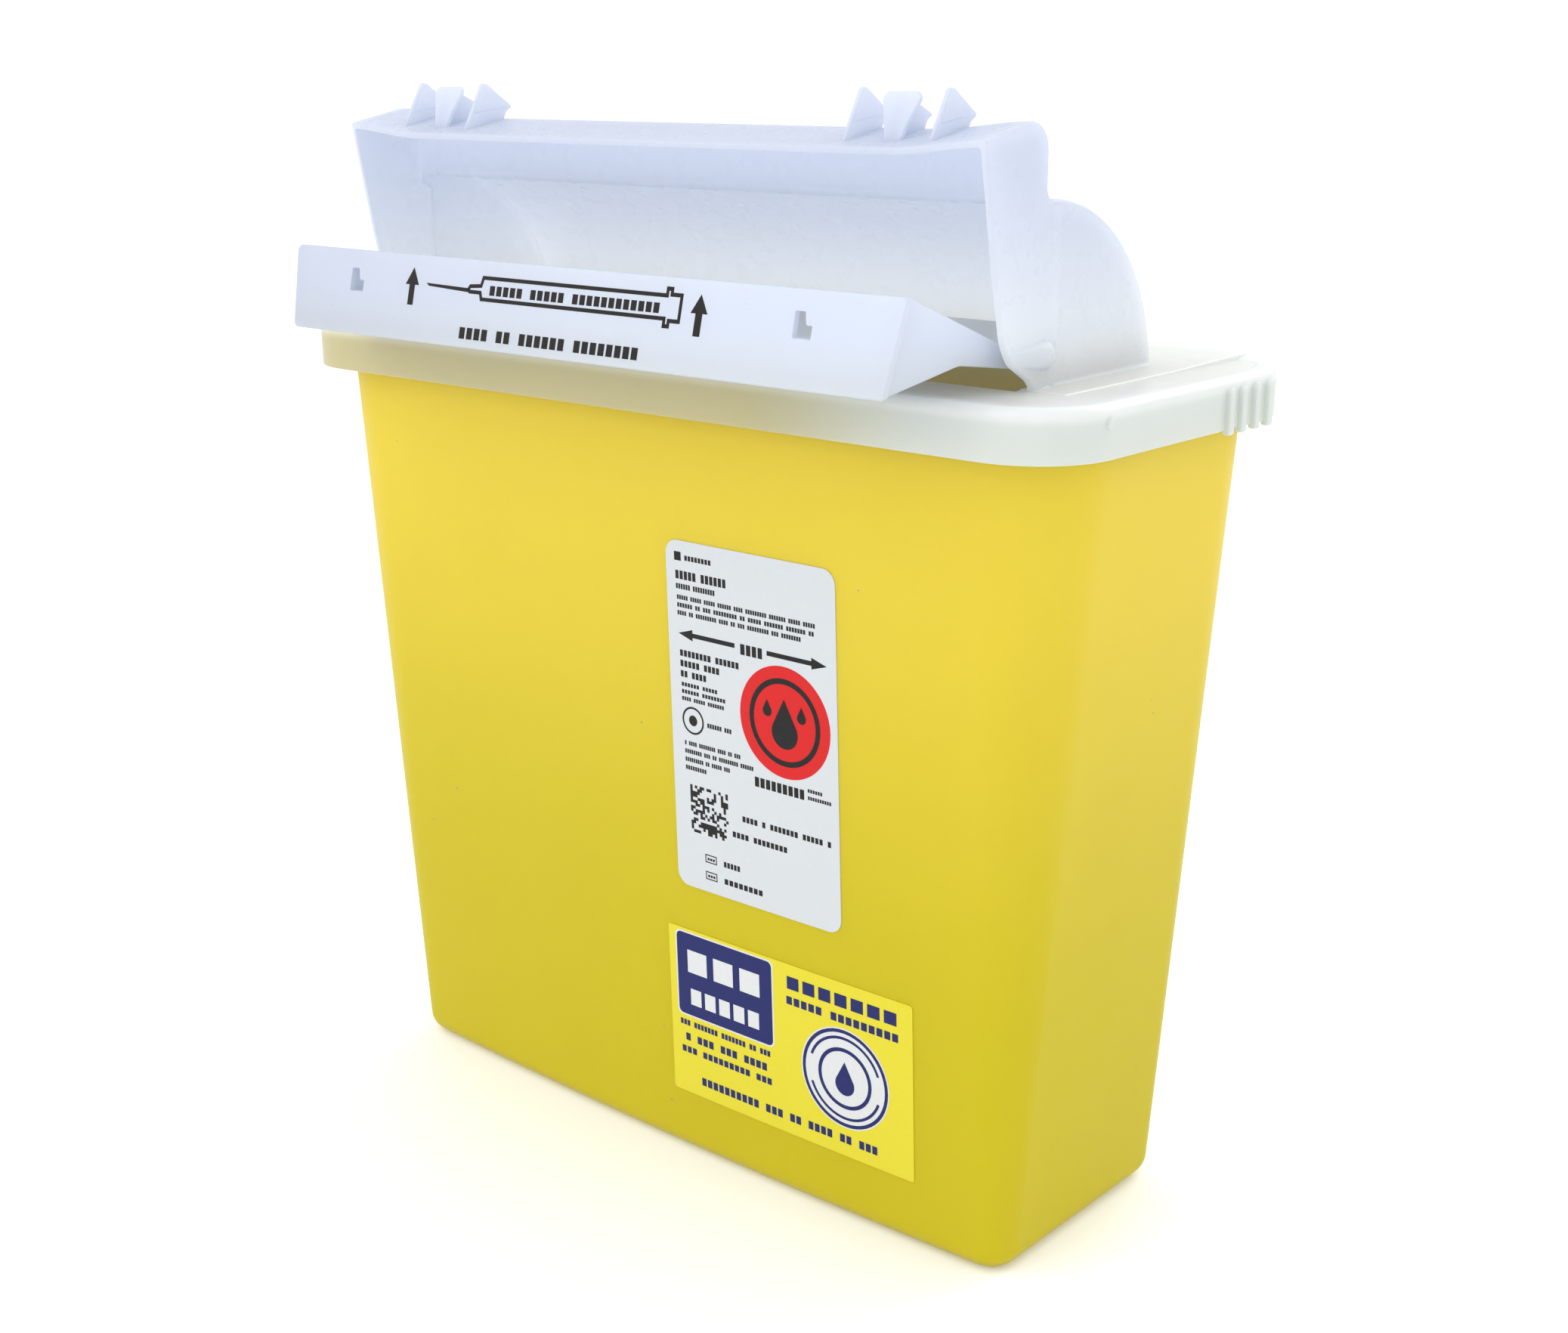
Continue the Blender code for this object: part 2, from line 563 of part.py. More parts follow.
def build():
    clear_scene()
    tub_plastic = plastic("tub_yellow", (0.78, 0.66, 0.06), 0.35, alpha=0.9)
    cover_plastic = plastic("cover_white", (0.78, 0.80, 0.84), 0.35, alpha=0.8)
    tray_plastic = plastic("tray_white", (0.80, 0.82, 0.86), 0.35, alpha=0.85)
    label_film = plastic("label_white", (0.90, 0.90, 0.90), 0.45)
    sticker_film = plastic("sticker_yellow", (0.85, 0.78, 0.08), 0.45)

    make_tub(tub_plastic)
    make_label("front_label", FRONT_LABEL, LABEL_CORNER, label_film)
    make_label("service_sticker", STICKER, STICKER_CORNER, sticker_film)
    make_cover(cover_plastic)
    make_snap_hooks(cover_plastic)
    make_hood(cover_plastic)
    make_pivot_bosses(cover_plastic)
    make_lock_tabs(cover_plastic)

    pivot = bpy.data.objects.new("tray_pivot", None)
    pivot.location = Vector((0.0, *PIVOT)) * MM
    bpy.context.scene.collection.objects.link(pivot)
    make_panel(tray_plastic, pivot)
    make_floor(tray_plastic, pivot)
    make_arms(tray_plastic, pivot)
    make_pins(tray_plastic, pivot)


build()
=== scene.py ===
"""The looks of the sharps container: fine surfaces, plastics, print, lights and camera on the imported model.

Lengths are millimetres, and MM turns them into Blender's metres when a mesh is made. X runs to the right,
-Y is the front and Z is up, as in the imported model. Profiles written as pairs are (y, z).
"""

import json
import math

import bmesh
import bpy
from mathutils import Matrix, Vector


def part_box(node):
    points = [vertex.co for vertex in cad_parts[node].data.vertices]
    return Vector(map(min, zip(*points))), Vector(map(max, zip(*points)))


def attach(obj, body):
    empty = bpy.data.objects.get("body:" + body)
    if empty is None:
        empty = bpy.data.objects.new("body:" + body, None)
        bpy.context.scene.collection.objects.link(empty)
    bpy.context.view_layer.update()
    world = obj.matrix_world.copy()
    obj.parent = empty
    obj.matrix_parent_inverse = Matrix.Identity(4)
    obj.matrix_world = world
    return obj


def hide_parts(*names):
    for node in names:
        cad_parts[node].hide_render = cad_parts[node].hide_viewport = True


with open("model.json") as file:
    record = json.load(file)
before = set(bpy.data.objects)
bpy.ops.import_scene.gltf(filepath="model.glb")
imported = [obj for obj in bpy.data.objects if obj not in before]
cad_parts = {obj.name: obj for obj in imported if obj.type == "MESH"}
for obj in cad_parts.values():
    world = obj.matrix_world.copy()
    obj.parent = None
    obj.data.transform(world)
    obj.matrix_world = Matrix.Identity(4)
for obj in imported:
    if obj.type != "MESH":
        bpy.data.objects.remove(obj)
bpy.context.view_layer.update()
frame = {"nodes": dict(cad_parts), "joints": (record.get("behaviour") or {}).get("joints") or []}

MM = 0.001
SINK = 0.4  # how far a moulded-on feature reaches into the wall that carries it
SHARP_DEG, BREAK_OVER_DEG = 38.0, 50.0
WELD = 0.002  # points closer than this become one after a cut
CUT_PAST = 5.0  # how far a cutter reaches past what it cuts


def corners_mm(node):
    """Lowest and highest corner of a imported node, in millimetres."""
    return [Vector(corner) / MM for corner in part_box(node)]


# Tub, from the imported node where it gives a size
TUB_HEIGHT = 217.6
TUB_BOTTOM_HALF = (114.9, 38.5)
TUB_TOP_HALF = (131.35, 48.2)
TUB_CORNER = (8.4, 21.6)
TUB_FRONT_BOW = 2.9
TUB_BOTTOM_ROUND = 6.0
TUB_WALL, TUB_FLOOR = 1.6, 2.0
FLANGE_HALF = (133.4, 53.4)
FLANGE_LOW, FLANGE_HIGH = 221.5, 224.5
RIM_TOP = corners_mm("tub")[1].z

# Cover
SKIRT_BOTTOM = 217.6
SKIRT_HALF = (136.5, corners_mm("lid_cover")[1].y)
SKIRT_CORNER, SKIRT_WALL = 21.3, 1.8
SKIRT_TOP, SKIRT_ROUND = 230.5, 2.6
SKIRT_FOOT_ROUND, HOLLOW_ROUND = 0.5, 1.2
RIM_WIDTH, RIM_SLOPE = 2.0, 1.4
DECK_TOP, DECK_THICK = 229.9, 1.8
OPENING_HALF_X, OPENING_YS = 107.0, (-31.3, 24.7)
COLLAR_WALL, COLLAR_LOW = 1.5, 216.5
PLATEAU_HALF_X = 120.0
PLATEAU_PROFILE = ((-29.3, 230.2), (20.0, 230.4), (55.6, 231.5))
RIB_YS = (17.1, 23.2, 29.8, 36.2)
RIB_HALF_WIDTH = 1.3
RIB_PROUD = corners_mm("lid_cover")[1].x - SKIRT_HALF[0]
RIB_LOW, RIB_HIGH = corners_mm("lid_cover")[0].z, 228.0
BUMP_Y, BUMP_Z, BUMP_RADIUS, BUMP_PROUD = -35.9, 226.1, 1.6, 0.6

# Hood: a frame round the mouth, and a quarter-round dome behind it, a little narrower than the frame
HOOD_HALF_X = corners_mm("hood_shell")[1].x
HOOD_WALL = 1.6
HOOD_MOUTH = (
    (-29.4, 231.1, 0.0),
    (-30.8, 232.6, 4.0),
    (-38.4, 236.9, 8.0),
    (-41.4, 241.9, 12.0),
    (-44.8, 257.0, 60.0),
)
HOOD_TOP_FRONT = (-50.3, 287.4)
HOOD_TOP_BACK_Z = 292.6
HOOD_BACK_Y, HOOD_BACK_ROUND = -25.3, 6.5
HOOD_SIDE_BACK_Y = -22.3
HOOD_SAG, HOOD_SAG_SPAN = 2.2, 28.0
DOME_CENTRE, DOME_RADIUS = (-21.8, 227.0), 46.4
DOME_HALF_X = HOOD_HALF_X - 1.2
HOOD_BURIED = 1.0  # how far the hood's walls reach down into the deck
HOLLOW_FRONT_Y, HOLLOW_LOW = -70.0, DECK_TOP - 15.0
FOOT_FLARE, FLARE_TURN = 1.3, 1.5

# Tipping tray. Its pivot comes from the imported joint.
PIVOT = tuple(frame["joints"][0]["pos_m"][axis] / MM for axis in (1, 2))
PIN_RADIUS, PIN_HOLE_RADIUS, PIN_END_X = 2.0, 2.4, 111.2
COLLAR_RADIUS, COLLAR_END_X = 3.6, 107.6
BOSS_RADIUS, BOSS_END_X = 3.4, corners_mm("pivot_boss_right")[1].x
PANEL_BOTTOM, PANEL_TOP = (-78.6, 233.0), (-73.3, 255.2)
PANEL_HALF_BOTTOM, PANEL_HALF_TOP = 105.2, 107.9
PANEL_THICK, PANEL_CORNER = 1.8, 1.7
SLOT_X, SLOT_Z = 79.5, 247.2
SLOT_WIDE, SLOT_NARROW = 5.4, 3.1
SLOT_TALL, SLOT_STEP = 6.0, 2.7
FLOOR_THICK = 1.8
FLOOR_KNEE, FLOOR_UNDER_PIVOT_Z, FLOOR_BACK = (-51.3, 237.8), 235.4, (18.7, 236.8)
ARM_THICK, ARM_SHOULDER, ARM_EYE_RADIUS = 1.6, (-36.3, 241.4), 3.6

# Lock tabs on the hood
TAB_GROUP_X, TAB_PITCH = 79.5, 12.7
TAB_STEM_THICK, TAB_HEAD_THICK = 1.2, 1.7
TAB_APEX, TAB_CATCH, TAB_FOOT_YS = (-38.9, 298.9), (-28.7, 292.1), (-46.2, -32.0)
TAB_CREASE = ((-42.9, 290.4), (-36.2, 291.4))
PADDLE_FOOT_HALF, PADDLE_TOP_HALF = 2.4, 6.2
PADDLE_FOOT_Y, PADDLE_TOP_Y, PADDLE_TOP_Z = -43.8, -39.5, 297.5
PADDLE_APEX = (-38.0, 296.4)
PADDLE_THICK, PADDLE_WAIST_Z, PADDLE_WAIST_SHARE = 1.1, 4.2, 0.28

# Films on the front: x from left to right, then z from bottom to top
FRONT_LABEL, LABEL_CORNER = (8.1, 66.0, 85.0, 183.4), 4.0
STICKER, STICKER_CORNER = (3.35, 88.8, 20.0, 71.4), 0.8
FILM_THICK, INK_THICK = 0.25, 0.04
JOIN = 1e-5  # points of a print closer than this are one


# Mesh tools


def publish(name, sheet):
    """A linked object from a bmesh in millimetres, smooth apart from its sharp edges."""
    bmesh.ops.recalc_face_normals(sheet, faces=sheet.faces)
    bmesh.ops.scale(sheet, vec=(MM, MM, MM), verts=sheet.verts)
    mesh = bpy.data.meshes.new(name)
    sheet.to_mesh(mesh)
    sheet.free()
    piece = bpy.data.objects.new(name, mesh)
    bpy.context.scene.collection.objects.link(piece)
    soften(piece)
    return piece


def soften(piece):
    piece.data.shade_smooth()
    piece.data.set_sharp_from_angle(angle=math.radians(SHARP_DEG))


def loft(name, rings):
    """One closed body through rings of equal length, capped at both ends."""
    sheet = bmesh.new()
    rows = [[sheet.verts.new(point) for point in ring] for ring in rings]
    for low, high in zip(rows, rows[1:]):
        for i in range(len(low)):
            j = (i + 1) % len(low)
            sheet.faces.new((low[i], low[j], high[j], high[i]))
    sheet.faces.new(rows[0][::-1])
    sheet.faces.new(rows[-1])
    return publish(name, sheet)


def settle(piece):
    """Turns a piece's modifiers into its mesh."""
    bpy.context.view_layer.update()
    graph = bpy.context.evaluated_depsgraph_get()
    mesh = bpy.data.meshes.new_from_object(piece.evaluated_get(graph))
    piece.modifiers.clear()
    sheet = bmesh.new()
    sheet.from_mesh(mesh)
    bmesh.ops.remove_doubles(sheet, verts=sheet.verts, dist=WELD * MM)
    bmesh.ops.dissolve_degenerate(sheet, edges=sheet.edges, dist=WELD * MM)
    sheet.to_mesh(mesh)
    sheet.free()
    piece.data = mesh
    soften(piece)


def combine(piece, operation, *helpers):
    """Unites the helpers with the piece, or cuts them out of it, and removes them."""
    for helper in helpers:
        step = piece.modifiers.new(helper.name, "BOOLEAN")
        step.operation = operation
        step.solver = "EXACT"
        step.object = helper
    settle(piece)
    for helper in helpers:
        bpy.data.objects.remove(helper)
    return piece


def break_edges(piece, width):
    """Rounds a piece's sharp edges a little, as a mould does, and leaves its broad faces unrounded."""
    bevel = piece.modifiers.new("broken_edges", "BEVEL")
    bevel.width = width * MM
    bevel.segments = 2
    bevel.limit_method = "ANGLE"
    bevel.angle_limit = math.radians(BREAK_OVER_DEG)
    settle(piece)
    return piece


def finish(piece, material, body, slot, *nodes):
    """Gives a finished piece its plastic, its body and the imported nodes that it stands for."""
    piece.data.materials.clear()
    piece.data.materials.append(material)
    weighted = piece.modifiers.new("flat_faces_first", "WEIGHTED_NORMAL")
    weighted.keep_sharp = True
    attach(piece, body)
    if nodes:
        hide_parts(*nodes)
    return piece


# Outlines


def mix(low, high, share):
    return low + (high - low) * share


def ease(share):
    """A share from 0 to 1 that starts and ends gently."""
    return share * share * (3 - 2 * share)


def quarter_turns(steps):
    return [math.radians(90 * k / steps) for k in range(steps + 1)]


def arc(centre, radius, start_deg, end_deg, steps):
    turns = [math.radians(start_deg + (end_deg - start_deg) * k / steps) for k in range(steps + 1)]
    return [(centre[0] + radius * math.cos(t), centre[1] + radius * math.sin(t)) for t in turns]


def circle(centre, radius, sides=48):
    return arc(centre, radius, 0, 360 - 360 / sides, sides - 1)


def filleted(corners, steps=6):
    """A closed outline from (a, b, radius) corners, with an arc at each corner that has a radius."""
    outline = []
    for i, (a, b, radius) in enumerate(corners):
        corner = Vector((a, b))
        if not radius:
            outline.append(tuple(corner))
            continue
        before = (Vector(corners[i - 1][:2]) - corner).normalized()
        after = (Vector(corners[(i + 1) % len(corners)][:2]) - corner).normalized()
        half_turn = before.angle(after) / 2
        centre = corner + (before + after).normalized() * (radius / math.sin(half_turn))
        start = corner + before * (radius / math.tan(half_turn)) - centre
        sweep = start.angle_signed(corner + after * (radius / math.tan(half_turn)) - centre)
        for k in range(steps + 1):
            spoke = Matrix.Rotation(-sweep * k / steps, 2) @ start
            outline.append(tuple(centre + spoke))
    return outline


def shrink(outline, distance):
    """A closed outline drawn in by a distance on every side."""
    area = sum(a[0] * b[1] - b[0] * a[1] for a, b in zip(outline, outline[1:] + outline[:1]))
    smaller = []
    for i, point in enumerate(outline):
        here = Vector(point)
        before = (here - Vector(outline[i - 1])).normalized()
        after = (Vector(outline[(i + 1) % len(outline)]) - here).normalized()
        normal = Vector((-before.y, before.x)) * math.copysign(1, area)
        both = Vector((-before.y - after.y, before.x + after.x)).normalized() * math.copysign(1, area)
        smaller.append(tuple(here + both * (distance / max(both.dot(normal), 0.4))))
    return smaller


def rounded_slab(first, last, edge, steps=3):
    """(position, inset) pairs through a slab whose two rims are rounded."""
    if not edge:
        return [(first, 0.0), (last, 0.0)]
    toward = math.copysign(1, last - first)
    start = []
    for t in quarter_turns(steps):
        start.append((first + toward * edge * (1 - math.cos(t)), edge * (1 - math.sin(t))))
    return start + [(first + last - place, inset) for place, inset in start[::-1]]


def plate(name, outline, x_first, x_last, edge):
    """A (y, z) outline made into a plate along X with rounded rims."""
    rings = []
    for x, inset in rounded_slab(x_first, x_last, edge):
        rings.append([(x, y, z) for y, z in (shrink(outline, inset) if inset else outline)])
    return loft(name, rings)


def rounded_ring(half, corner, z, bow=0.0):
    """A level rounded rectangle round the Z axis. Its front side bulges by bow in the middle."""
    corner_steps, side_steps = 12, 16
    half_x, half_y = half
    ring = []
    for quarter, (sign_x, sign_y) in enumerate(((1, 1), (-1, 1), (-1, -1), (1, -1))):
        centre = (sign_x * (half_x - corner), sign_y * (half_y - corner))
        ring += arc(centre, corner, 90 * quarter, 90 * quarter + 90, corner_steps)
        if quarter % 2 == 0:
            straight = half_x - corner
            for k in range(1, side_steps):
                ring.append((sign_x * straight * (1 - 2 * k / side_steps), sign_y * half_y))
    return [(x, y - (y < 0) * bow * (1 - (x / half_x) ** 2), z) for x, y in ring]


# Tub


def tub_size(z):
    """Half width, half depth, corner radius and front bow of the tub's outside at a height."""
    share = z / TUB_HEIGHT
    half_x = mix(TUB_BOTTOM_HALF[0], TUB_TOP_HALF[0], share)
    half_y = mix(TUB_BOTTOM_HALF[1], TUB_TOP_HALF[1], share)
    return half_x, half_y, mix(*TUB_CORNER, min(share, 1.0)), TUB_FRONT_BOW * max(1 - share, 0.0)


def tub_ring(z, inset=0.0):
    half_x, half_y, corner, bow = tub_size(z)
    return rounded_ring((half_x - inset, half_y - inset), max(corner - inset, 1.0), z, bow)


def front_face_y(x, z):
    half_x, half_y, _, bow = tub_size(z)
    return -half_y - bow * (1 - (x / half_x) ** 2)


def bottom_round(radius, floor, wall):
    """Rings of a rounded bottom edge, from the flat bottom up to the straight wall."""
    rings = []
    for t in quarter_turns(8):
        rings.append(tub_ring(floor + radius * (1 - math.cos(t)), wall + radius * (1 - math.sin(t))))
    return rings


def make_tub():
    levels = [TUB_HEIGHT * k / 8 for k in range(1, 8)]
    outside = bottom_round(TUB_BOTTOM_ROUND, 0.0, 0.0) + [tub_ring(z) for z in (*levels, FLANGE_LOW)]
    flange = [rounded_ring(FLANGE_HALF, TUB_CORNER[1], z) for z in (FLANGE_LOW, FLANGE_HIGH)]
    top = [tub_ring(FLANGE_HIGH), tub_ring(RIM_TOP), tub_ring(RIM_TOP, TUB_WALL)]
    inside = [tub_ring(z, TUB_WALL) for z in levels[::-1]]
    inside += bottom_round(TUB_BOTTOM_ROUND - TUB_WALL, TUB_FLOOR, TUB_WALL)[::-1]
    return loft("tub_body", outside + flange + top + inside)


# Cover


def plateau_top(y):
    """Height of the raised part of the deck."""
    for (y_low, z_low), (y_high, z_high) in zip(PLATEAU_PROFILE, PLATEAU_PROFILE[1:]):
        if y <= y_high:
            return mix(z_low, z_high, (y - y_low) / (y_high - y_low))
    return PLATEAU_PROFILE[-1][1]


def skirt_ring(inset, z):
    return rounded_ring((SKIRT_HALF[0] - inset, SKIRT_HALF[1] - inset), SKIRT_CORNER - inset, z)


def make_skirt():
    """The skirt, with its rounded rim, and the deck that lies a little below the rim."""
    rings = []
    for t in quarter_turns(3):
        inset = SKIRT_FOOT_ROUND * (1 - math.sin(t))
        rings.append(skirt_ring(inset, SKIRT_BOTTOM + SKIRT_FOOT_ROUND * (1 - math.cos(t))))
    for t in quarter_turns(8):
        rings.append(skirt_ring(SKIRT_ROUND * (1 - math.cos(t)), SKIRT_TOP - SKIRT_ROUND * (1 - math.sin(t))))
    for k in range(7):
        share = k / 6
        drop = (SKIRT_TOP - DECK_TOP) * ease(share)
        rings.append(skirt_ring(SKIRT_ROUND + RIM_WIDTH + RIM_SLOPE * share, SKIRT_TOP - drop))
    skirt = loft("cover_skirt", rings)
    hollow_top = DECK_TOP - DECK_THICK
    inner = [skirt_ring(SKIRT_WALL, SKIRT_BOTTOM - CUT_PAST)]
    for t in quarter_turns(4):
        inset = SKIRT_WALL + HOLLOW_ROUND * (1 - math.cos(t))
        inner.append(skirt_ring(inset, hollow_top - HOLLOW_ROUND * (1 - math.sin(t))))
    return combine(skirt, "DIFFERENCE", loft("cover_hollow", inner))


def make_plateau():
    """The raised part of the deck that carries the hood and rises towards the back."""
    buried = DECK_TOP - DECK_THICK / 2
    (front, front_z), (knee, knee_z), (back, back_z) = PLATEAU_PROFILE
    corners = [(front, buried, 0), (back - 0.8, buried, 0), (back, back_z, 0.7), (knee, knee_z, 40.0)]
    outline = filleted([*corners, (front, front_z, 0.6)])
    return plate("plateau", outline, -PLATEAU_HALF_X, PLATEAU_HALF_X, 0.45)


def make_ribs():
    """Grip ribs near the back of each short side, and a round stop near the front."""
    made = []
    buried = SKIRT_HALF[0] - SKIRT_WALL / 2
    for sign, side in ((-1, "left"), (1, "right")):
        for number, y in enumerate(RIB_YS):
            low, high = (y - RIB_HALF_WIDTH, RIB_LOW), (y + RIB_HALF_WIDTH, RIB_HIGH)
            corners = [(*low, 0.7), (high[0], low[1], 0.7), (*high, 1.2), (low[0], high[1], 1.2)]
            ends = sign * buried, sign * (SKIRT_HALF[0] + RIB_PROUD)
            made.append(plate(f"rib_{side}_{number}", filleted(corners, 4), *ends, 0.5))
        ends = sign * buried, sign * (SKIRT_HALF[0] + BUMP_PROUD)
        made.append(plate(f"bump_{side}", circle((BUMP_Y, BUMP_Z), BUMP_RADIUS, 24), *ends, 0.5))
    return made


def opening_block(name, margin, low, high):
    """A block as large as the opening in the deck, or larger by a margin on every side."""
    front, back, half_x = OPENING_YS[0] - margin, OPENING_YS[1] + margin, OPENING_HALF_X + margin
    return plate(name, [(front, low), (back, low), (back, high), (front, high)], -half_x, half_x, 0.0)


def make_cover():
    collar = opening_block("collar", COLLAR_WALL, COLLAR_LOW, DECK_TOP - DECK_THICK / 2)
    cover = combine(make_skirt(), "UNION", make_plateau(), *make_ribs(), collar)
    opening = opening_block("opening", 0.0, COLLAR_LOW - CUT_PAST, DECK_TOP + CUT_PAST)
    return break_edges(combine(cover, "DIFFERENCE", opening), 0.25)


# Hood


def hood_top_z(x, y):
    """Height of the hood's sloping top, which dips between its two ends."""
    share = min(max((HOOD_HALF_X - abs(x)) / HOOD_SAG_SPAN, 0.0), 1.0)
    front_y, front_z = HOOD_TOP_FRONT
    slope = (y - front_y) / (HOOD_BACK_Y - front_y)
    return mix(front_z, HOOD_TOP_BACK_Z, slope) - HOOD_SAG * ease(share)


def frame_outline(x):
    """Side profile of the frame round the mouth: up the mouth, over the top and down its back."""
    foot = plateau_top(HOOD_MOUTH[0][0]) - HOOD_BURIED
    dome_top = DOME_CENTRE[1] + math.sqrt(DOME_RADIUS**2 - (HOOD_SIDE_BACK_Y - DOME_CENTRE[0]) ** 2)
    return filleted(
        [
            (HOOD_SIDE_BACK_Y, foot, 0),
            (HOOD_MOUTH[0][0], foot, 0),
            *HOOD_MOUTH,
            (HOOD_TOP_FRONT[0], hood_top_z(x, HOOD_TOP_FRONT[0]), 0.9),
            (HOOD_BACK_Y, hood_top_z(x, HOOD_BACK_Y), HOOD_BACK_ROUND),
            (HOOD_BACK_Y, dome_top, 2.9),
            (HOOD_SIDE_BACK_Y, dome_top - 0.05, 0),
        ]
    )


def end_stations(half_x, edge):
    """(x, inset) pairs from end to end, with rounded ends and the rise of the hood's top."""
    steps = 5
    near = rounded_slab(-half_x, half_x, edge, steps)[: steps + 1]
    rise = [half_x - edge - (HOOD_SAG_SPAN - edge) * k / 8 for k in range(1, 9)]
    level = [(-x, 0) for x in rise] + [(x, 0) for x in rise[::-1]]
    return near + level + [(-x, inset) for x, inset in near[::-1]]


def along_hood(name, outline_at, half_x, edge):
    rings = []
    for x, inset in end_stations(half_x, edge):
        rings.append([(x, y, z) for y, z in shrink(outline_at(x), inset)])
    return loft(name, rings)


def dome_outline(_):
    """Side profile of the dome, which is the same at every x."""
    foot = plateau_top(DOME_CENTRE[0]) - HOOD_BURIED
    start = HOOD_SIDE_BACK_Y - 1.0
    lowest = math.degrees(math.asin((foot - DOME_CENTRE[1]) / DOME_RADIUS))
    return [(start, foot)] + arc(DOME_CENTRE, DOME_RADIUS, 92.0, lowest, 40)


def frame_hollow(x):
    """The space inside the frame, open through the mouth and the foot."""
    wall, far, deep = HOOD_WALL, HOLLOW_FRONT_Y, HOLLOW_LOW
    back = HOOD_BACK_Y - wall
    crease = DOME_CENTRE[1] + DOME_RADIUS - wall
    side_back = HOOD_SIDE_BACK_Y - wall
    return filleted(
        [
            (far, deep, 0),
            (far, hood_top_z(x, far) - wall, 0),
            (back, hood_top_z(x, back) - wall, HOOD_BACK_ROUND - wall),
            (back, crease - 1.5, 0),
            (side_back, crease - 3.5, 0),
            (side_back, deep, 0),
        ]
    )


def whole_hollow(x):
    """The space inside the frame and the dome together, with a soft crease between them."""
    wall, far, deep = HOOD_WALL, HOLLOW_FRONT_Y, HOLLOW_LOW
    back = HOOD_BACK_Y - wall
    dome = arc(DOME_CENTRE, DOME_RADIUS - wall, 86.0, 0.0, 40)
    corners = [
        (far, deep, 0),
        (far, hood_top_z(x, far) - wall, 0),
        (back, hood_top_z(x, back) - wall, HOOD_BACK_ROUND - wall),
        (back, dome[0][1] + 0.2, 2.2),
        (*dome[0], 0),
    ]
    return filleted(corners)[:-1] + dome + [(dome[-1][0], deep)]


def make_foot_flare():
    """The small concave fillet where the hood meets the deck. It fades out at both front ends."""
    back_y = DOME_CENTRE[0] + DOME_RADIUS - 0.15
    start_y, sideways = HOOD_MOUTH[0][0] + 0.8, Vector((1, 0))
    right = []
    for k in range(7):
        y = start_y + (HOOD_SIDE_BACK_Y - 0.8 - start_y) * k / 6
        right.append((HOOD_HALF_X - 0.1, y, sideways, k / 6))
    right += [(DOME_HALF_X, HOOD_SIDE_BACK_Y + 1.2, sideways, 1.0)]
    right += [(DOME_HALF_X, back_y - FLARE_TURN, sideways, 1.0)]
    turn_centre = Vector((DOME_HALF_X - FLARE_TURN, back_y - FLARE_TURN))
    for t in quarter_turns(6)[1:]:
        out = Vector((math.cos(t), math.sin(t)))
        right.append((*(turn_centre + out * FLARE_TURN), out, 1.0))
    path = right + [(-x, y, Vector((-out.x, out.y)), share) for x, y, out, share in right[::-1]]
    rings = []
    for x, y, out, share in path:
        base = plateau_top(y) - 0.05
        size = FOOT_FLARE * mix(0.12, 1.0, ease(share))
        section = [(-0.9, base - 0.7), (size, base - 0.7)]
        for t in quarter_turns(8):
            section.append((size * (1 - math.sin(t)), base + size * (1 - math.cos(t))))
        section.append((-0.9, base + size))
        rings.append([(x + out.x * away, y + out.y * away, z) for away, z in section])
    return loft("foot_flare", rings)


def make_shoulder_blend(sign, side):
    """Eases each side of the frame down to the dome, which lies a little further in."""
    start, length, steps = HOOD_SIDE_BACK_Y - 1.2, 7.5, 12
    rings = []
    for k in range(steps + 1):
        share = k / steps
        y = start + length * share
        proud = (HOOD_HALF_X - DOME_HALF_X - 0.04) * (1 - ease(share)) - 0.12 * share
        top = DOME_CENTRE[1] + math.sqrt(DOME_RADIUS**2 - (y - DOME_CENTRE[0]) ** 2) - 0.9
        low, inside, outside = plateau_top(y) - 0.8, sign * (DOME_HALF_X - 0.6), sign * (DOME_HALF_X + proud)
        rings.append([(inside, y, low), (outside, y, low), (outside, y, top - 0.6), (inside, y, top)])
    return loft(f"shoulder_{side}", rings)


def disc(name, radius, x_first, x_last, edge=0.0):
    """A disc or bore on the tray's pivot."""
    return plate(name, circle(PIVOT, radius), x_first, x_last, edge)


def make_hood():
    hood = along_hood("hood", frame_outline, HOOD_HALF_X, 0.8)
    dome = along_hood("dome", dome_outline, DOME_HALF_X, 1.0)
    shoulders = [make_shoulder_blend(sign, side) for sign, side in ((-1, "left"), (1, "right"))]
    combine(hood, "UNION", dome, *shoulders, make_foot_flare())
    hollows = [
        along_hood("frame_hollow", frame_hollow, HOOD_HALF_X - HOOD_WALL, 0.8),
        along_hood("whole_hollow", whole_hollow, DOME_HALF_X - HOOD_WALL, 0.8),
    ]
    reach = HOOD_HALF_X + CUT_PAST
    combine(hood, "DIFFERENCE", *hollows, disc("pin_holes", PIN_HOLE_RADIUS, -reach, reach))
    return break_edges(hood, 0.3)


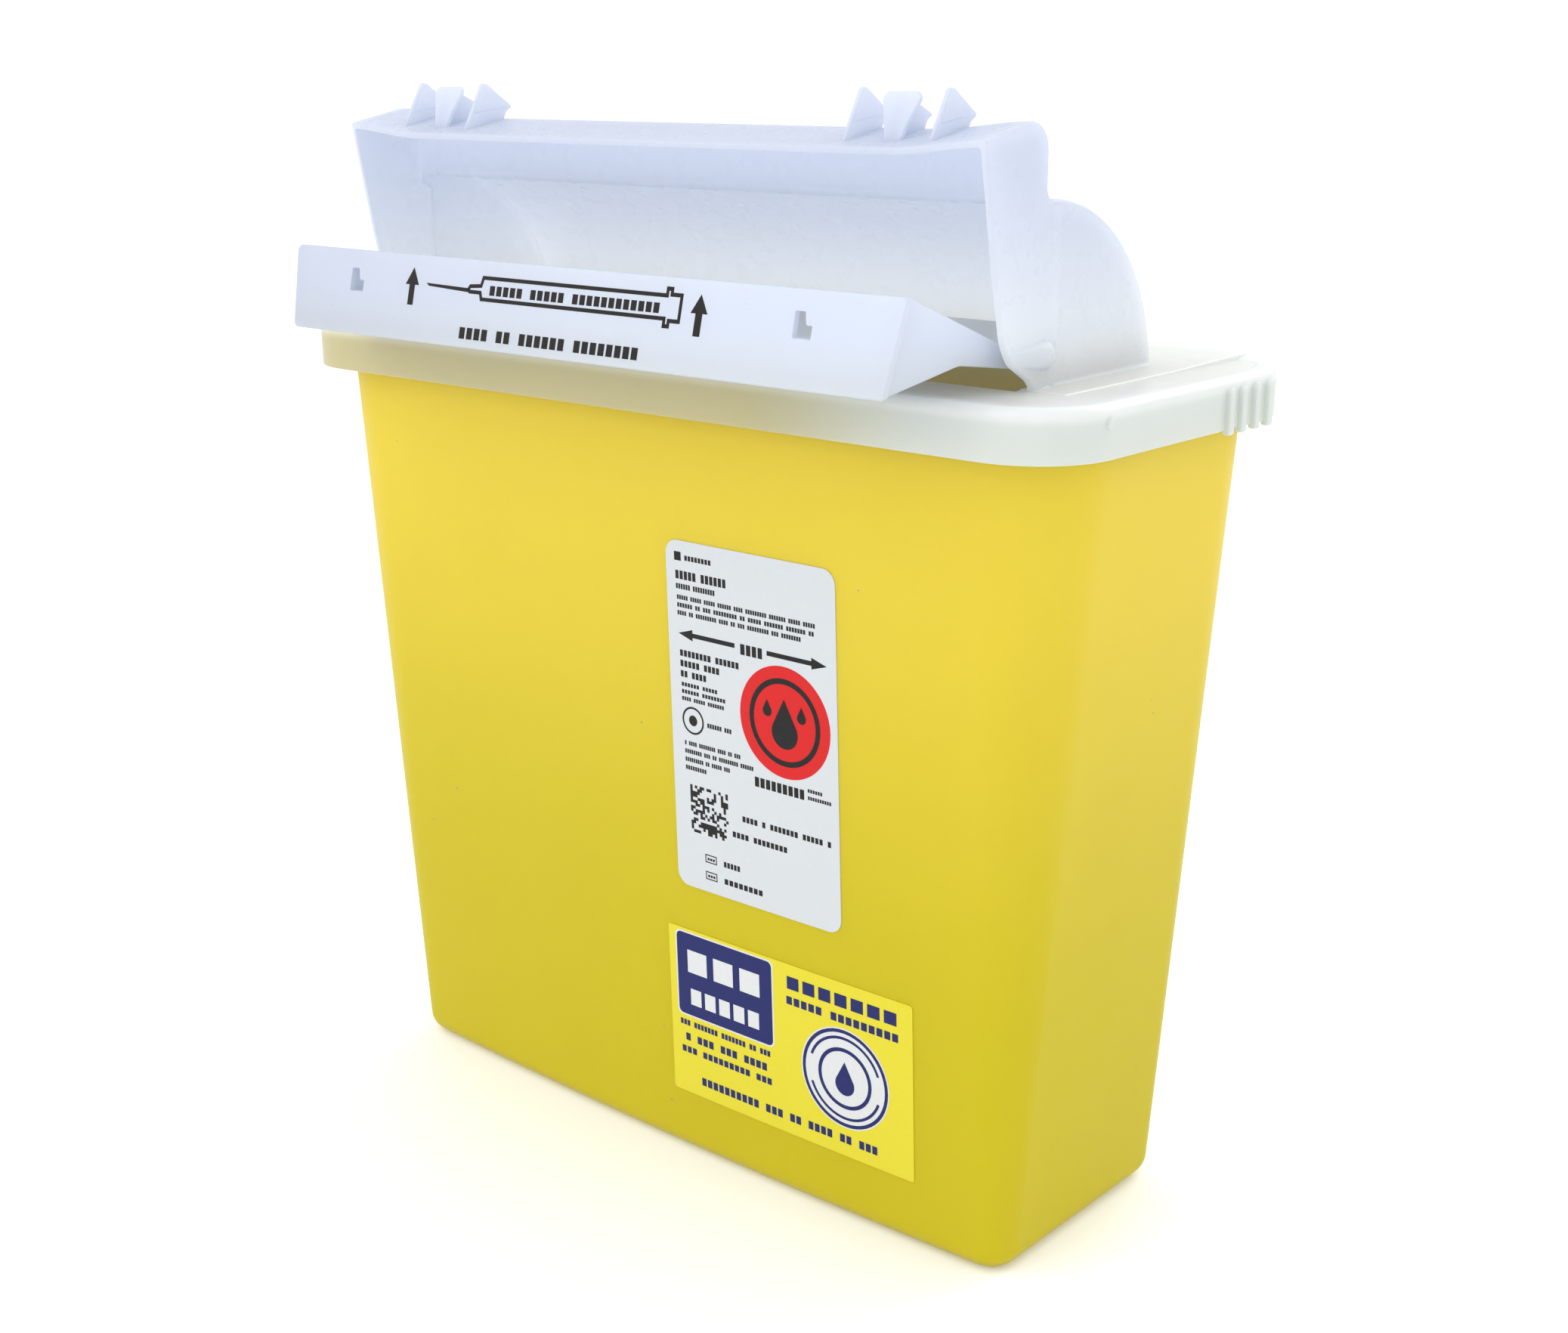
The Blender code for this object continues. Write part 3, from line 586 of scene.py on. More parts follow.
def make_pivot_boss(sign, side):
    """A low, soft cap over the pivot pin, which fades out towards the front."""
    height = BOSS_END_X - HOOD_HALF_X
    profile = [(-SINK, 1.12, 8.5), (0.0, 1.12, 8.5), (0.12 * height, 1.05, 6.8), (0.34 * height, 0.97, 5.0)]
    profile += [(0.58 * height, 0.86, 3.4), (0.80 * height, 0.70, 2.0), (0.94 * height, 0.50, 0.9)]
    profile += [(height, 0.26, 0.3)]
    rings = []
    for rise, share, tail in profile:
        radius = BOSS_RADIUS * share
        taper = mix(1.0, 0.55, min(tail / 8.5, 1.0))
        front = arc((PIVOT[0] - tail, PIVOT[1] + 0.1), radius * taper, 90, 270, 16)
        outline = arc(PIVOT, radius, -90, 90, 16) + front
        rings.append([(sign * (HOOD_HALF_X + rise), y, z) for y, z in outline])
    boss = loft(f"boss_{side}", rings)
    inside = sign * (HOOD_HALF_X - 2.0), sign * (BOSS_END_X - 0.8)
    return combine(boss, "DIFFERENCE", disc(f"pocket_{side}", PIN_HOLE_RADIUS, *inside))


def tab_foot(x, y):
    return hood_top_z(x, y) - SINK


def tab_outline(x, front=TAB_FOOT_YS[0], apex=TAB_APEX):
    """Side profile of an arrow-shaped lock tab, down into the hood's top."""
    back = TAB_FOOT_YS[1]
    corners = [
        (front, tab_foot(x, front), 0),
        (back, tab_foot(x, back), 0),
        (TAB_CATCH[0] - 2.1, TAB_CATCH[1] - 1.3, 0.6),
        (*TAB_CATCH, 0.35),
        (*apex, 1.4),
    ]
    return filleted(corners, 5)


def head_outline():
    """The thicker arrow head above the crease."""
    (crease_y, crease_z), (middle_y, middle_z) = TAB_CREASE
    corners = [(crease_y, crease_z, 0), (middle_y, middle_z, 12.0), (*TAB_CATCH, 0.35), (*TAB_APEX, 1.4)]
    return filleted(corners, 5)


def make_lock_tab(name, x):
    half_stem, half_head = TAB_STEM_THICK / 2, TAB_HEAD_THICK / 2
    stem = plate(name, tab_outline(x), x - half_stem, x + half_stem, 0.25)
    return combine(stem, "UNION", plate("head", head_outline(), x - half_head, x + half_head, 0.3))


def make_paddle(name, x):
    """A lock tab behind a flared blade, for the thumb."""
    half = TAB_STEM_THICK / 2
    tab = plate(name, tab_outline(x, PADDLE_FOOT_Y + 0.9, PADDLE_APEX), x - half, x + half, 0.25)
    foot_z = tab_foot(x, PADDLE_FOOT_Y)
    foot, top = PADDLE_FOOT_HALF, PADDLE_TOP_HALF
    waist = mix(foot, top, PADDLE_WAIST_SHARE)
    corners = [(-foot, 0, 0), (foot, 0, 0), (waist, PADDLE_WAIST_Z, 9.0), (top, PADDLE_TOP_Z - foot_z, 1.6)]
    corners += [(-across, up, radius) for across, up, radius in corners[:1:-1]]
    outline = filleted(corners)
    rings = []
    for depth, inset in rounded_slab(0.0, PADDLE_THICK, 0.35):
        ring = []
        for across, up in shrink(outline, inset):
            share = up / (PADDLE_TOP_Z - foot_z)
            y = mix(PADDLE_FOOT_Y, PADDLE_TOP_Y, share**1.25 if share > 0 else share) + depth
            ring.append((x + across, y, foot_z + up - 0.3 * depth))
        rings.append(ring)
    return combine(tab, "UNION", loft("blade", rings))


# Tipping tray


def panel_end_x(z):
    share = (z - PANEL_BOTTOM[1]) / (PANEL_TOP[1] - PANEL_BOTTOM[1])
    return mix(PANEL_HALF_BOTTOM, PANEL_HALF_TOP, share)


def panel_face_y(z):
    """The front face of the leaning panel."""
    share = (z - PANEL_BOTTOM[1]) / (PANEL_TOP[1] - PANEL_BOTTOM[1])
    return mix(PANEL_BOTTOM[0], PANEL_TOP[0], share)


def slot_outline(centre_x):
    """A stepped slot whose upper right corner is filled by a rounded catch."""
    left, low = centre_x - SLOT_WIDE / 2, SLOT_Z - SLOT_TALL / 2
    right, high = left + SLOT_WIDE, low + SLOT_TALL
    step_x, step_z = left + SLOT_NARROW, low + SLOT_STEP
    corners = [(left, low, 0.3), (right, low, 0.3), (right, step_z + 0.5, 0.4), (step_x + 0.5, step_z, 0.9)]
    return filleted(corners + [(step_x - 0.2, high, 0.3), (left, high, 0.3)], 4)


def make_panel():
    """The leaning front panel, with a stepped slot near each end for the lock tabs."""
    (_, low), (_, high) = PANEL_BOTTOM, PANEL_TOP
    corners = [(-PANEL_HALF_BOTTOM, low), (PANEL_HALF_BOTTOM, low)]
    corners += [(PANEL_HALF_TOP, high), (-PANEL_HALF_TOP, high)]
    outline = filleted([(*corner, PANEL_CORNER) for corner in corners], 8)
    lean = (Vector(PANEL_TOP) - Vector(PANEL_BOTTOM)).normalized()
    rings = []
    for depth, inset in rounded_slab(0.0, PANEL_THICK, 0.6, 4):
        ring = shrink(outline, inset)
        rings.append([(x, panel_face_y(z) + lean.y * depth, z - lean.x * depth) for x, z in ring])
    panel = loft("tray_front", rings)
    slots = []
    for centre_x in (-SLOT_X, SLOT_X):
        ends = PANEL_BOTTOM[0] - CUT_PAST, PANEL_TOP[0] + CUT_PAST
        slots.append(loft("slot", [[(x, y, z) for x, z in slot_outline(centre_x)] for y in ends]))
    return break_edges(combine(panel, "DIFFERENCE", *slots), 0.2)


def make_floor():
    """The tray's floor, from the panel, over the pivot and back under the dome."""
    front = PANEL_BOTTOM[0] + PANEL_THICK / 2
    share = (front - PANEL_BOTTOM[0]) / (FLOOR_KNEE[0] - PANEL_BOTTOM[0])
    front_z = mix(PANEL_BOTTOM[1] + 0.2, FLOOR_KNEE[1], share)
    bends = [(*FLOOR_KNEE, 14.0), (PIVOT[0], FLOOR_UNDER_PIVOT_Z, 60.0)]
    under = [(front, front_z, 0), *bends, (*FLOOR_BACK, 0.6)]
    over = [(y, z + FLOOR_THICK, radius) for y, z, radius in under[::-1]]
    half_x = PANEL_HALF_BOTTOM - ARM_THICK / 2
    return plate("tray_bed", filleted(under + over), -half_x, half_x, 0.3)


def make_arm(sign, side):
    """A side plate from the panel back to the pivot. It leans out with the panel's end."""
    front_low = (PANEL_BOTTOM[0] + PANEL_THICK / 2, PANEL_BOTTOM[1] + 0.5)
    front_high = (PANEL_TOP[0] + PANEL_THICK / 2, PANEL_TOP[1] - 0.15)
    eye = [(y, z, 0) for y, z in arc(PIVOT, ARM_EYE_RADIUS, -80.0, 75.0, 14)]
    corners = [(*front_low, 0.7), (*FLOOR_KNEE, 9.0), (PIVOT[0] - 5.0, FLOOR_UNDER_PIVOT_Z - 0.6, 5.0)]
    outline = filleted([*corners, *eye, (*ARM_SHOULDER, 10.0), (*front_high, 0.6)])
    rings = []
    for depth, inset in rounded_slab(0.03, ARM_THICK, 0.5):
        rings.append([(sign * (panel_end_x(z) - depth), y, z) for y, z in shrink(outline, inset)])
    return loft(f"tray_side_{side}", rings)


def make_pin(sign, side):
    start = panel_end_x(PIVOT[1]) - SINK
    pin = disc(f"tray_pin_{side}", COLLAR_RADIUS, sign * start, sign * COLLAR_END_X, 0.3)
    journal = disc("journal", PIN_RADIUS, sign * (start + 1.0), sign * PIN_END_X, 0.4)
    return combine(pin, "UNION", journal)


# Films and print


def on_film(x, z, away):
    """A point in front of the tub's bowed front."""
    return (x, front_face_y(x, z) - away, z)


def on_panel(x, z, away):
    return (x, panel_face_y(z) - away, z)


class Print:
    """Flat shapes, in (x, z), that become one thin layer on a face of the object."""

    def __init__(self):
        self.shapes = []

    def fill(self, outline):
        self.shapes.append([outline])

    def band(self, outer, inner):
        """The stretch between two outlines of equal length."""
        count = len(outer)
        quads = [(outer[i], outer[(i + 1) % count], inner[(i + 1) % count], inner[i]) for i in range(count)]
        self.shapes.append(quads)

    def bar(self, left, low, right, high, radius=0.0):
        corners = [(left, low, radius), (right, low, radius), (right, high, radius), (left, high, radius)]
        self.fill(filleted(corners))

    def frame(self, left, low, right, high, width):
        outer = [(left, low), (right, low), (right, high), (left, high)]
        self.band(outer, shrink(outer, width))

    def words(self, left, right, low, height, lengths):
        """A line of small blocks that stands in for words of these lengths."""
        pitch = (right - left) / (sum(lengths) + len(lengths) - 1)
        x = left
        for length in lengths:
            for _ in range(length):
                self.bar(x + 0.1 * pitch, low, x + 0.84 * pitch, low + 0.8 * height)
                x += pitch
            x += pitch

    def lines(self, left, low, pitch, height, *rows):
        """Lines of words one under the other. A row is its right end and the lengths of its words."""
        for row, (right, lengths) in enumerate(rows):
            self.words(left, right, low - pitch * row, height, lengths)

    def ring(self, centre, radius, width):
        self.band(circle(centre, radius), circle(centre, radius - width))

    def arrow(self, tail, tip, width, head_length, head_width):
        along = (Vector(tip) - Vector(tail)).normalized()
        across = Vector((-along.y, along.x))
        neck = Vector(tip) - along * head_length
        points = [Vector(tail) - across * width / 2, neck - across * width / 2]
        points += [neck - across * head_width / 2, Vector(tip), neck + across * head_width / 2]
        points.append(neck + across * width / 2)
        self.fill([tuple(point) for point in [*points, Vector(tail) + across * width / 2]])

    def make(self, name, place, under, thick, column=7.0):
        """Lays the shapes on a face, in columns narrow enough to follow its bow."""
        whole = bmesh.new()
        for shape in self.shapes:
            for outline in shape:
                whole.faces.new([whole.verts.new((x, 0.0, z)) for x, z in outline])
        bmesh.ops.remove_doubles(whole, verts=whole.verts, dist=JOIN)
        xs = [vert.co.x for vert in whole.verts]
        for k in range(math.ceil(min(xs) / column), math.floor(max(xs) / column) + 1):
            everything, at = [*whole.verts, *whole.edges, *whole.faces], (k * column, 0, 0)
            bmesh.ops.bisect_plane(whole, geom=everything, plane_co=at, plane_no=(1, 0, 0), dist=JOIN)
        grown = bmesh.ops.extrude_face_region(whole, geom=whole.faces[:], use_keep_orig=True)["geom"]
        raised = {item for item in grown if isinstance(item, bmesh.types.BMVert)}
        for vert in whole.verts:
            away = under + thick if vert in raised else under
            vert.co = place(vert.co.x, vert.co.z, away)
        return publish(name, whole)


def make_film(name, place, corner):
    left, right, low, high = place
    film = Print()
    film.bar(left, low, right, high, corner)
    return film.make(name, on_film, -0.03, FILM_THICK + 0.03)


def droplet(centre, size):
    """A drop outline: a round belly and a pointed top."""
    belly = arc(centre, size, -215, 35, 24)
    return belly + [(centre[0], centre[1] + 2.1 * size)]


def front_label_print():
    black, red = Print(), Print()
    black.bar(11.2, 177.9, 13.6, 180.3)
    black.words(14.8, 24.4, 178.2, 1.7, (8,))
    black.words(11.3, 29.5, 172.9, 2.9, (5, 6))
    black.words(11.4, 25.4, 170.2, 1.8, (6, 9))
    first, second = (59.4, (5, 5, 5, 6, 4, 9, 7, 5, 5)), (59.0, (6, 2, 3, 9, 2, 5, 7, 7, 2))
    black.lines(11.6, 167.3, 2.15, 1.5, first, second, (54.6, (4, 2, 9, 4, 2, 3, 9, 3, 8)))
    black.arrow((31.8, 157.9), (11.8, 157.9), 1.25, 5.0, 3.1)
    black.arrow((42.9, 157.9), (62.9, 157.9), 1.25, 5.0, 3.1)
    black.words(33.6, 41.6, 155.9, 3.6, (4,))
    black.lines(11.9, 151.6, 2.9, 2.2, (33.2, (8, 6)), (26.2, (5, 4)), (21.4, (2, 4)))
    black.lines(12.1, 143.2, 2.0, 1.35, (25.2, (6, 5)), (28.0, (6, 8)), (27.4, (4, 5, 7)))
    black.ring((15.9, 133.9), 3.9, 0.55)
    black.fill(circle((15.9, 133.9), 1.5, 24))
    black.words(21.0, 29.8, 133.0, 1.6, (6, 3))
    first, second = (32.7, (1, 4, 8, 4, 2, 3)), (37.2, (8, 3, 2, 9, 6))
    black.lines(12.5, 126.6, 2.35, 1.5, first, second, (28.8, (9, 2, 5, 3)), (20.2, (9,)))
    red.fill(circle((48.4, 140.0), 15.3, 72))
    black_over = Print()
    black_over.ring((48.4, 140.0), 12.0, 1.5)
    black_over.fill(droplet((48.4, 137.2), 4.4))
    for turn in (math.radians(-50), math.radians(50)):
        foot = Vector((48.4, 137.4)) + Vector((math.sin(turn), math.cos(turn))) * 7.6
        black_over.fill(droplet(foot, 1.5))
    black.words(37.4, 54.8, 120.2, 3.4, (9,))
    black.words(55.7, 60.7, 122.6, 1.2, (6,))
    black.words(55.7, 63.6, 120.6, 1.2, (10,))
    cells, left, top, side = 16, 13.9, 115.4, 0.86
    for column in range(cells):
        for row in range(cells):
            if math.sin(column * 12.9898 + row * 78.233) * 43758.5453 % 1 < 0.5:
                x, z = left + side * column, top - side * row
                black.bar(x, z - side * 0.98, x + side * 0.98, z)
    black.words(32.6, 63.4, 108.9, 2.0, (4, 1, 7, 5, 1))
    black.words(28.9, 48.4, 103.7, 2.0, (4, 8))
    for low in (93.7, 88.7):
        black.frame(18.6, low, 22.8, low + 2.4, 0.3)
        black.words(19.3, 22.2, low + 0.75, 0.9, (3,))
        black.words(25.3, 31.4 + (93.7 - low) * 1.6, low + 0.2, 2.0, (5,) if low > 90 else (8,))
    return black, red, black_over


def sticker_print():
    navy, white, over = Print(), Print(), Print()
    white.bar(5.9, 44.4, 41.9, 70.6, 1.8)
    navy.bar(6.4, 44.9, 41.4, 70.1, 1.6)
    over.words(9.4, 38.6, 58.3, 8.6, (3,))
    over.words(10.6, 37.4, 48.4, 6.2, (5,))
    navy.words(46.4, 84.6, 64.2, 4.6, (7,))
    navy.words(46.4, 84.6, 59.6, 2.9, (5, 9))
    navy.words(6.6, 40.4, 41.3, 2.1, (3, 7, 7, 2, 3))
    navy.words(8.4, 39.2, 36.6, 2.8, (1, 3, 3, 4))
    navy.words(6.8, 40.8, 32.7, 2.4, (3, 9, 3))
    navy.words(14.0, 77.2, 23.9, 3.0, (10, 3, 2, 4, 2, 3))
    centre = (66.3, 43.3)
    white.fill(circle(centre, 14.8, 72))
    navy.ring(centre, 14.4, 1.0)
    over_navy = Print()
    over_navy.ring(centre, 9.0, 1.1)
    over_navy.fill(droplet((centre[0], centre[1] - 1.8), 3.2))
    for start in (20, 200):
        outer = arc(centre, 12.3, start, start + 140, 20)
        inner = arc(centre, 11.5, start + 140, start, 20)
        over_navy.fill(outer + inner)
    return navy, white, over, over_navy


def tray_print():
    ink = Print()
    for x in (-56.4, 47.6):
        ink.arrow((x, 242.2), (x, 251.8), 2.2, 4.4, 5.4)
    outline = [(-50.8, 248.2), (-34.5, 247.7), (-33.6, 248.9), (-29.6, 249.2), (-29.0, 251.3), (36.2, 251.3)]
    outline += [(36.2, 252.9), (38.6, 252.9), (38.6, 251.6), (41.9, 251.6), (41.9, 244.6), (38.6, 244.6)]
    outline += [(38.6, 243.3), (36.2, 243.3), (36.2, 245.0), (-29.0, 245.0), (-29.6, 246.6)]
    outline += [(-33.6, 246.6), (-34.5, 247.2)]
    body = outline[1:]
    ink.band(body, shrink(body, 0.95))
    ink.fill([outline[0], (-49.6, 247.5), (-34.2, 246.9), (-34.2, 247.9)])
    ink.words(-26.0, 35.0, 246.6, 3.0, (5, 5, 12))
    ink.words(-35.6, 30.0, 235.2, 3.6, (4, 2, 6, 8))
    return ink


# Materials


def add(tree, kind, settings=None, **values):
    """A shader node with its settings and the values of its sockets."""
    made = tree.nodes.new(kind)
    for key, value in (settings or {}).items():
        setattr(made, key, value)
    for key, value in values.items():
        made.inputs[key.replace("_", " ")].default_value = value
    return made


def tint_where(tree, place, colour, tint, *ramps):
    """Multiplies a colour by a tint where every ramp is up. A ramp is a direction, its start and its end."""
    mask = None
    for direction, start, end in ramps:
        along = add(tree, "ShaderNodeVectorMath", {"operation": "DOT_PRODUCT"})
        along.inputs[1].default_value = direction
        tree.links.new(place.outputs["Object"], along.inputs[0])
        ramp = add(tree, "ShaderNodeMapRange", {"interpolation_type": "SMOOTHSTEP"})
        ramp.inputs["From Min"].default_value = start * MM
        ramp.inputs["From Max"].default_value = end * MM
        tree.links.new(along.outputs["Value"], ramp.inputs["Value"])
        if mask:
            both = add(tree, "ShaderNodeMath", {"operation": "MULTIPLY"})
            tree.links.new(mask, both.inputs[0])
            tree.links.new(ramp.outputs["Result"], both.inputs[1])
            mask = both.outputs["Value"]
        else:
            mask = ramp.outputs["Result"]
    tinted = add(tree, "ShaderNodeMix", {"data_type": "RGBA", "blend_type": "MULTIPLY"})
    tinted.inputs["B"].default_value = (*tint, 1.0)
    tree.links.new(mask, tinted.inputs["Factor"])
    tree.links.new(colour, tinted.inputs["A"])
    return tinted.outputs["Result"]


def moulded_plastic(name, colour, shade, through, gloss, roughness, *tints):
    """A milky moulded plastic: cloudy colour, tints by place that paint shade and light onto it, dust specks,
    and light let through.
    """
    material = bpy.data.materials.new(name)
    material.use_nodes = True
    tree = material.node_tree
    link = tree.links.new
    shader = tree.nodes["Principled BSDF"]
    shader.inputs["IOR"].default_value = 1.49
    shader.inputs["Specular IOR Level"].default_value = gloss
    place = add(tree, "ShaderNodeTexCoord")
    clouds = add(tree, "ShaderNodeTexNoise", Scale=22.0, Detail=2.0, Roughness=0.5)
    link(place.outputs["Object"], clouds.inputs["Vector"])
    cloudy = add(tree, "ShaderNodeMix", {"data_type": "RGBA"})
    cloudy.inputs["A"].default_value = (*colour, 1.0)
    cloudy.inputs["B"].default_value = (*shade, 1.0)
    link(clouds.outputs["Fac"], cloudy.inputs["Factor"])
    tinted = cloudy.outputs["Result"]
    # the tints are painted shade and painted light, laid on by place
    for tint, *ramps in tints:
        tinted = tint_where(tree, place, tinted, tint, *ramps)

    specks = add(tree, "ShaderNodeTexVoronoi", Scale=60.0, Randomness=1.0)
    link(place.outputs["Object"], specks.inputs["Vector"])
    dot = add(tree, "ShaderNodeMath", {"operation": "LESS_THAN"})
    dot.inputs[1].default_value = 0.015
    link(specks.outputs["Distance"], dot.inputs[0])
    # dust specks laid over the colour, which already carries the painted shade
    dust_over_painted_shade = add(tree, "ShaderNodeMix", {"data_type": "RGBA"})
    dust_over_painted_shade.inputs["B"].default_value = (0.42, 0.34, 0.26, 1.0)
    link(dot.outputs["Value"], dust_over_painted_shade.inputs["Factor"])
    link(tinted, dust_over_painted_shade.inputs["A"])
    link(dust_over_painted_shade.outputs["Result"], shader.inputs["Base Color"])

    scuffs = add(tree, "ShaderNodeTexNoise", Scale=140.0, Detail=3.0, Roughness=0.5)
    link(place.outputs["Object"], scuffs.inputs["Vector"])
    rough = add(tree, "ShaderNodeMapRange")
    rough.inputs["To Min"].default_value = roughness[0]
    rough.inputs["To Max"].default_value = roughness[1]
    link(scuffs.outputs["Fac"], rough.inputs["Value"])
    link(rough.outputs["Result"], shader.inputs["Roughness"])
    grain = add(tree, "ShaderNodeTexNoise", Scale=700.0, Detail=1.0)
    link(place.outputs["Object"], grain.inputs["Vector"])
    flow = add(tree, "ShaderNodeTexNoise", Scale=14.0, Detail=1.0)
    link(place.outputs["Object"], flow.inputs["Vector"])
    ripple = add(tree, "ShaderNodeBump", Strength=0.2, Distance=0.0005)
    link(flow.outputs["Fac"], ripple.inputs["Height"])
    texture = add(tree, "ShaderNodeBump", Strength=0.08, Distance=0.00004)
    link(grain.outputs["Fac"], texture.inputs["Height"])
    link(ripple.outputs["Normal"], texture.inputs["Normal"])
    link(texture.outputs["Normal"], shader.inputs["Normal"])

    glow = add(tree, "ShaderNodeBsdfTranslucent")
    link(dust_over_painted_shade.outputs["Result"], glow.inputs["Color"])
    blend = add(tree, "ShaderNodeMixShader", Fac=through)
    link(shader.outputs["BSDF"], blend.inputs[1])
    link(glow.outputs["BSDF"], blend.inputs[2])
    link(blend.outputs["Shader"], tree.nodes["Material Output"].inputs["Surface"])
    return material


def printed(name, colour, shade, roughness, gloss=0.5):
    """A printed film or ink: nearly even colour, with the fine mottle of print and a soft sheen."""
    material = bpy.data.materials.new(name)
    material.use_nodes = True
    tree = material.node_tree
    link = tree.links.new
    shader = tree.nodes["Principled BSDF"]
    shader.inputs["Specular IOR Level"].default_value = gloss
    place = add(tree, "ShaderNodeTexCoord")
    mottle = add(tree, "ShaderNodeTexNoise", Scale=900.0, Detail=3.0)
    link(place.outputs["Object"], mottle.inputs["Vector"])
    mixed = add(tree, "ShaderNodeMix", {"data_type": "RGBA"})
    mixed.inputs["A"].default_value = (*colour, 1.0)
    mixed.inputs["B"].default_value = (*shade, 1.0)
    link(mottle.outputs["Fac"], mixed.inputs["Factor"])
    link(mixed.outputs["Result"], shader.inputs["Base Color"])
    wide = add(tree, "ShaderNodeTexNoise", Scale=60.0, Detail=2.0)
    link(place.outputs["Object"], wide.inputs["Vector"])
    rough = add(tree, "ShaderNodeMapRange")
    rough.inputs["To Min"].default_value = roughness - 0.06
    rough.inputs["To Max"].default_value = roughness + 0.06
    link(wide.outputs["Fac"], rough.inputs["Value"])
    link(rough.outputs["Result"], shader.inputs["Roughness"])
    bump = add(tree, "ShaderNodeBump", Strength=0.12, Distance=0.00003)
    link(mottle.outputs["Fac"], bump.inputs["Height"])
    link(bump.outputs["Normal"], shader.inputs["Normal"])
    return material


RIGHT, BACK, UP = (1, 0, 0), (0, 1, 0), (0, 0, 1)
yellow_plastic = moulded_plastic(
    "tub_yellow", (0.93, 0.785, 0.075), (0.90, 0.755, 0.060), 0.42, 0.35, (0.30, 0.42),
    # painted shade: the tub darker and a deeper yellow towards the bottom
    ((0.83, 0.86, 0.15), (UP, 210.0, 60.0)),
)
cover_plastic = moulded_plastic(
    "cover_milky", (0.96, 0.98, 0.99), (0.94, 0.965, 0.98), 0.38, 0.5, (0.18, 0.30),
    # painted shade: the skirt darker and greyer below its rim, all round
    ((0.82, 0.85, 0.82), (UP, 229.6, 226.0)),
    # painted shadow of the tray on the skirt's front, with painted yellow light from the tub, fading towards
    # the right corner
    ((0.88, 0.77, 0.46), (UP, 231.0, 226.0), (BACK, -51.0, -55.0), (RIGHT, 105.0, 40.0)),
)
hood_plastic = moulded_plastic(
    "hood_milky", (0.94, 0.96, 0.975), (0.92, 0.945, 0.965), 0.58, 0.5, (0.22, 0.34),
    # painted shade: the hood darker and bluer towards its top
    ((0.86, 0.875, 0.94), (UP, 236.0, 280.0)),
)
tray_plastic = moulded_plastic(
    "tray_milky", (0.80, 0.845, 0.925), (0.78, 0.825, 0.91), 0.42, 0.5, (0.24, 0.36),
    # painted shade: the tray darker towards its left end
    ((0.91, 0.91, 0.93), (RIGHT, 30.0, -110.0)),
    # painted shade: the tray a little darker and yellower towards its bottom
    ((0.98, 0.975, 0.94), (UP, 246.0, 234.0)),
)
label_white = printed("label_white", (0.575, 0.605, 0.635), (0.55, 0.58, 0.61), 0.42)
sticker_yellow = printed("sticker_yellow", (0.69, 0.605, 0.022), (0.66, 0.58, 0.018), 0.38, 0.35)
ink_black = printed("ink_black", (0.006, 0.006, 0.007), (0.014, 0.014, 0.014), 0.45, 0.2)
ink_brown = printed("ink_brown_black", (0.006, 0.005, 0.005), (0.016, 0.013, 0.011), 0.40, 0.2)
ink_red = printed("ink_red", (0.62, 0.012, 0.012), (0.56, 0.010, 0.010), 0.40, 0.2)
ink_navy = printed("ink_navy", (0.012, 0.018, 0.13), (0.010, 0.015, 0.11), 0.40, 0.2)
ink_white = printed("ink_white", (0.66, 0.68, 0.70), (0.60, 0.62, 0.64), 0.42)


# Pieces

finish(make_tub(), yellow_plastic, "container", "tub_plastic", "tub")
finish(make_cover(), cover_plastic, "container", "cover_plastic", "lid_cover")
finish(make_hood(), hood_plastic, "container", "cover_plastic", "hood_shell")
for sign, side in ((-1, "left"), (1, "right")):
    boss = make_pivot_boss(sign, side)
    finish(boss, hood_plastic, "container", "cover_plastic", f"pivot_boss_{side}")
    for step, place in ((-1, "inner"), (1, "outer")):
        tab = make_lock_tab(f"tab_{side}_{place}", sign * (TAB_GROUP_X + step * TAB_PITCH))
        finish(tab, hood_plastic, "container", "cover_plastic", f"lock_tab_{side}_{place}")
    paddle = make_paddle(f"paddle_{side}", sign * TAB_GROUP_X)
    finish(paddle, hood_plastic, "container", "cover_plastic", f"lock_paddle_{side}")
    finish(make_arm(sign, side), tray_plastic, "tray", "tray_plastic", f"tray_arm_{side}")
    finish(make_pin(sign, side), tray_plastic, "tray", "tray_plastic", f"pivot_pin_{side}")
    for end in ("front", "back"):
        hook = frame["nodes"][f"snap_hook_{end}_{side}"]
        for slot in hook.material_slots:
            slot.material = cover_plastic
finish(make_panel(), tray_plastic, "tray", "tray_plastic", "tray_panel")
finish(make_floor(), tray_plastic, "tray", "tray_plastic", "tray_floor")

label = make_film("white_label", FRONT_LABEL, LABEL_CORNER)
finish(label, label_white, "container", "label_film", "front_label")
sticker = make_film("yellow_sticker", STICKER, STICKER_CORNER)
finish(sticker, sticker_yellow, "container", "sticker_film", "service_sticker")
black, red, black_over = front_label_print()
navy, white, white_over, navy_over = sticker_print()
for name, shapes, ink, layer in (
    ("label_ink_red", red, ink_red, 0),
    ("label_ink_black", black, ink_black, 0),
    ("label_disc_black", black_over, ink_black, 1),
    ("sticker_ink_white", white, ink_white, 0),
    ("sticker_ink_navy", navy, ink_navy, 1),
    ("sticker_disc_navy", navy_over, ink_navy, 1),
    ("sticker_block_white", white_over, ink_white, 2),
):
    layer_piece = shapes.make(name, on_film, FILM_THICK + INK_THICK * (layer - 0.2), INK_THICK)
    finish(layer_piece, ink, "container", None)
tray_ink = tray_print().make("tray_ink", on_panel, -0.02, INK_THICK + 0.02, 20.0)
finish(tray_ink, ink_brown, "tray", None)


# Stage, lights and camera


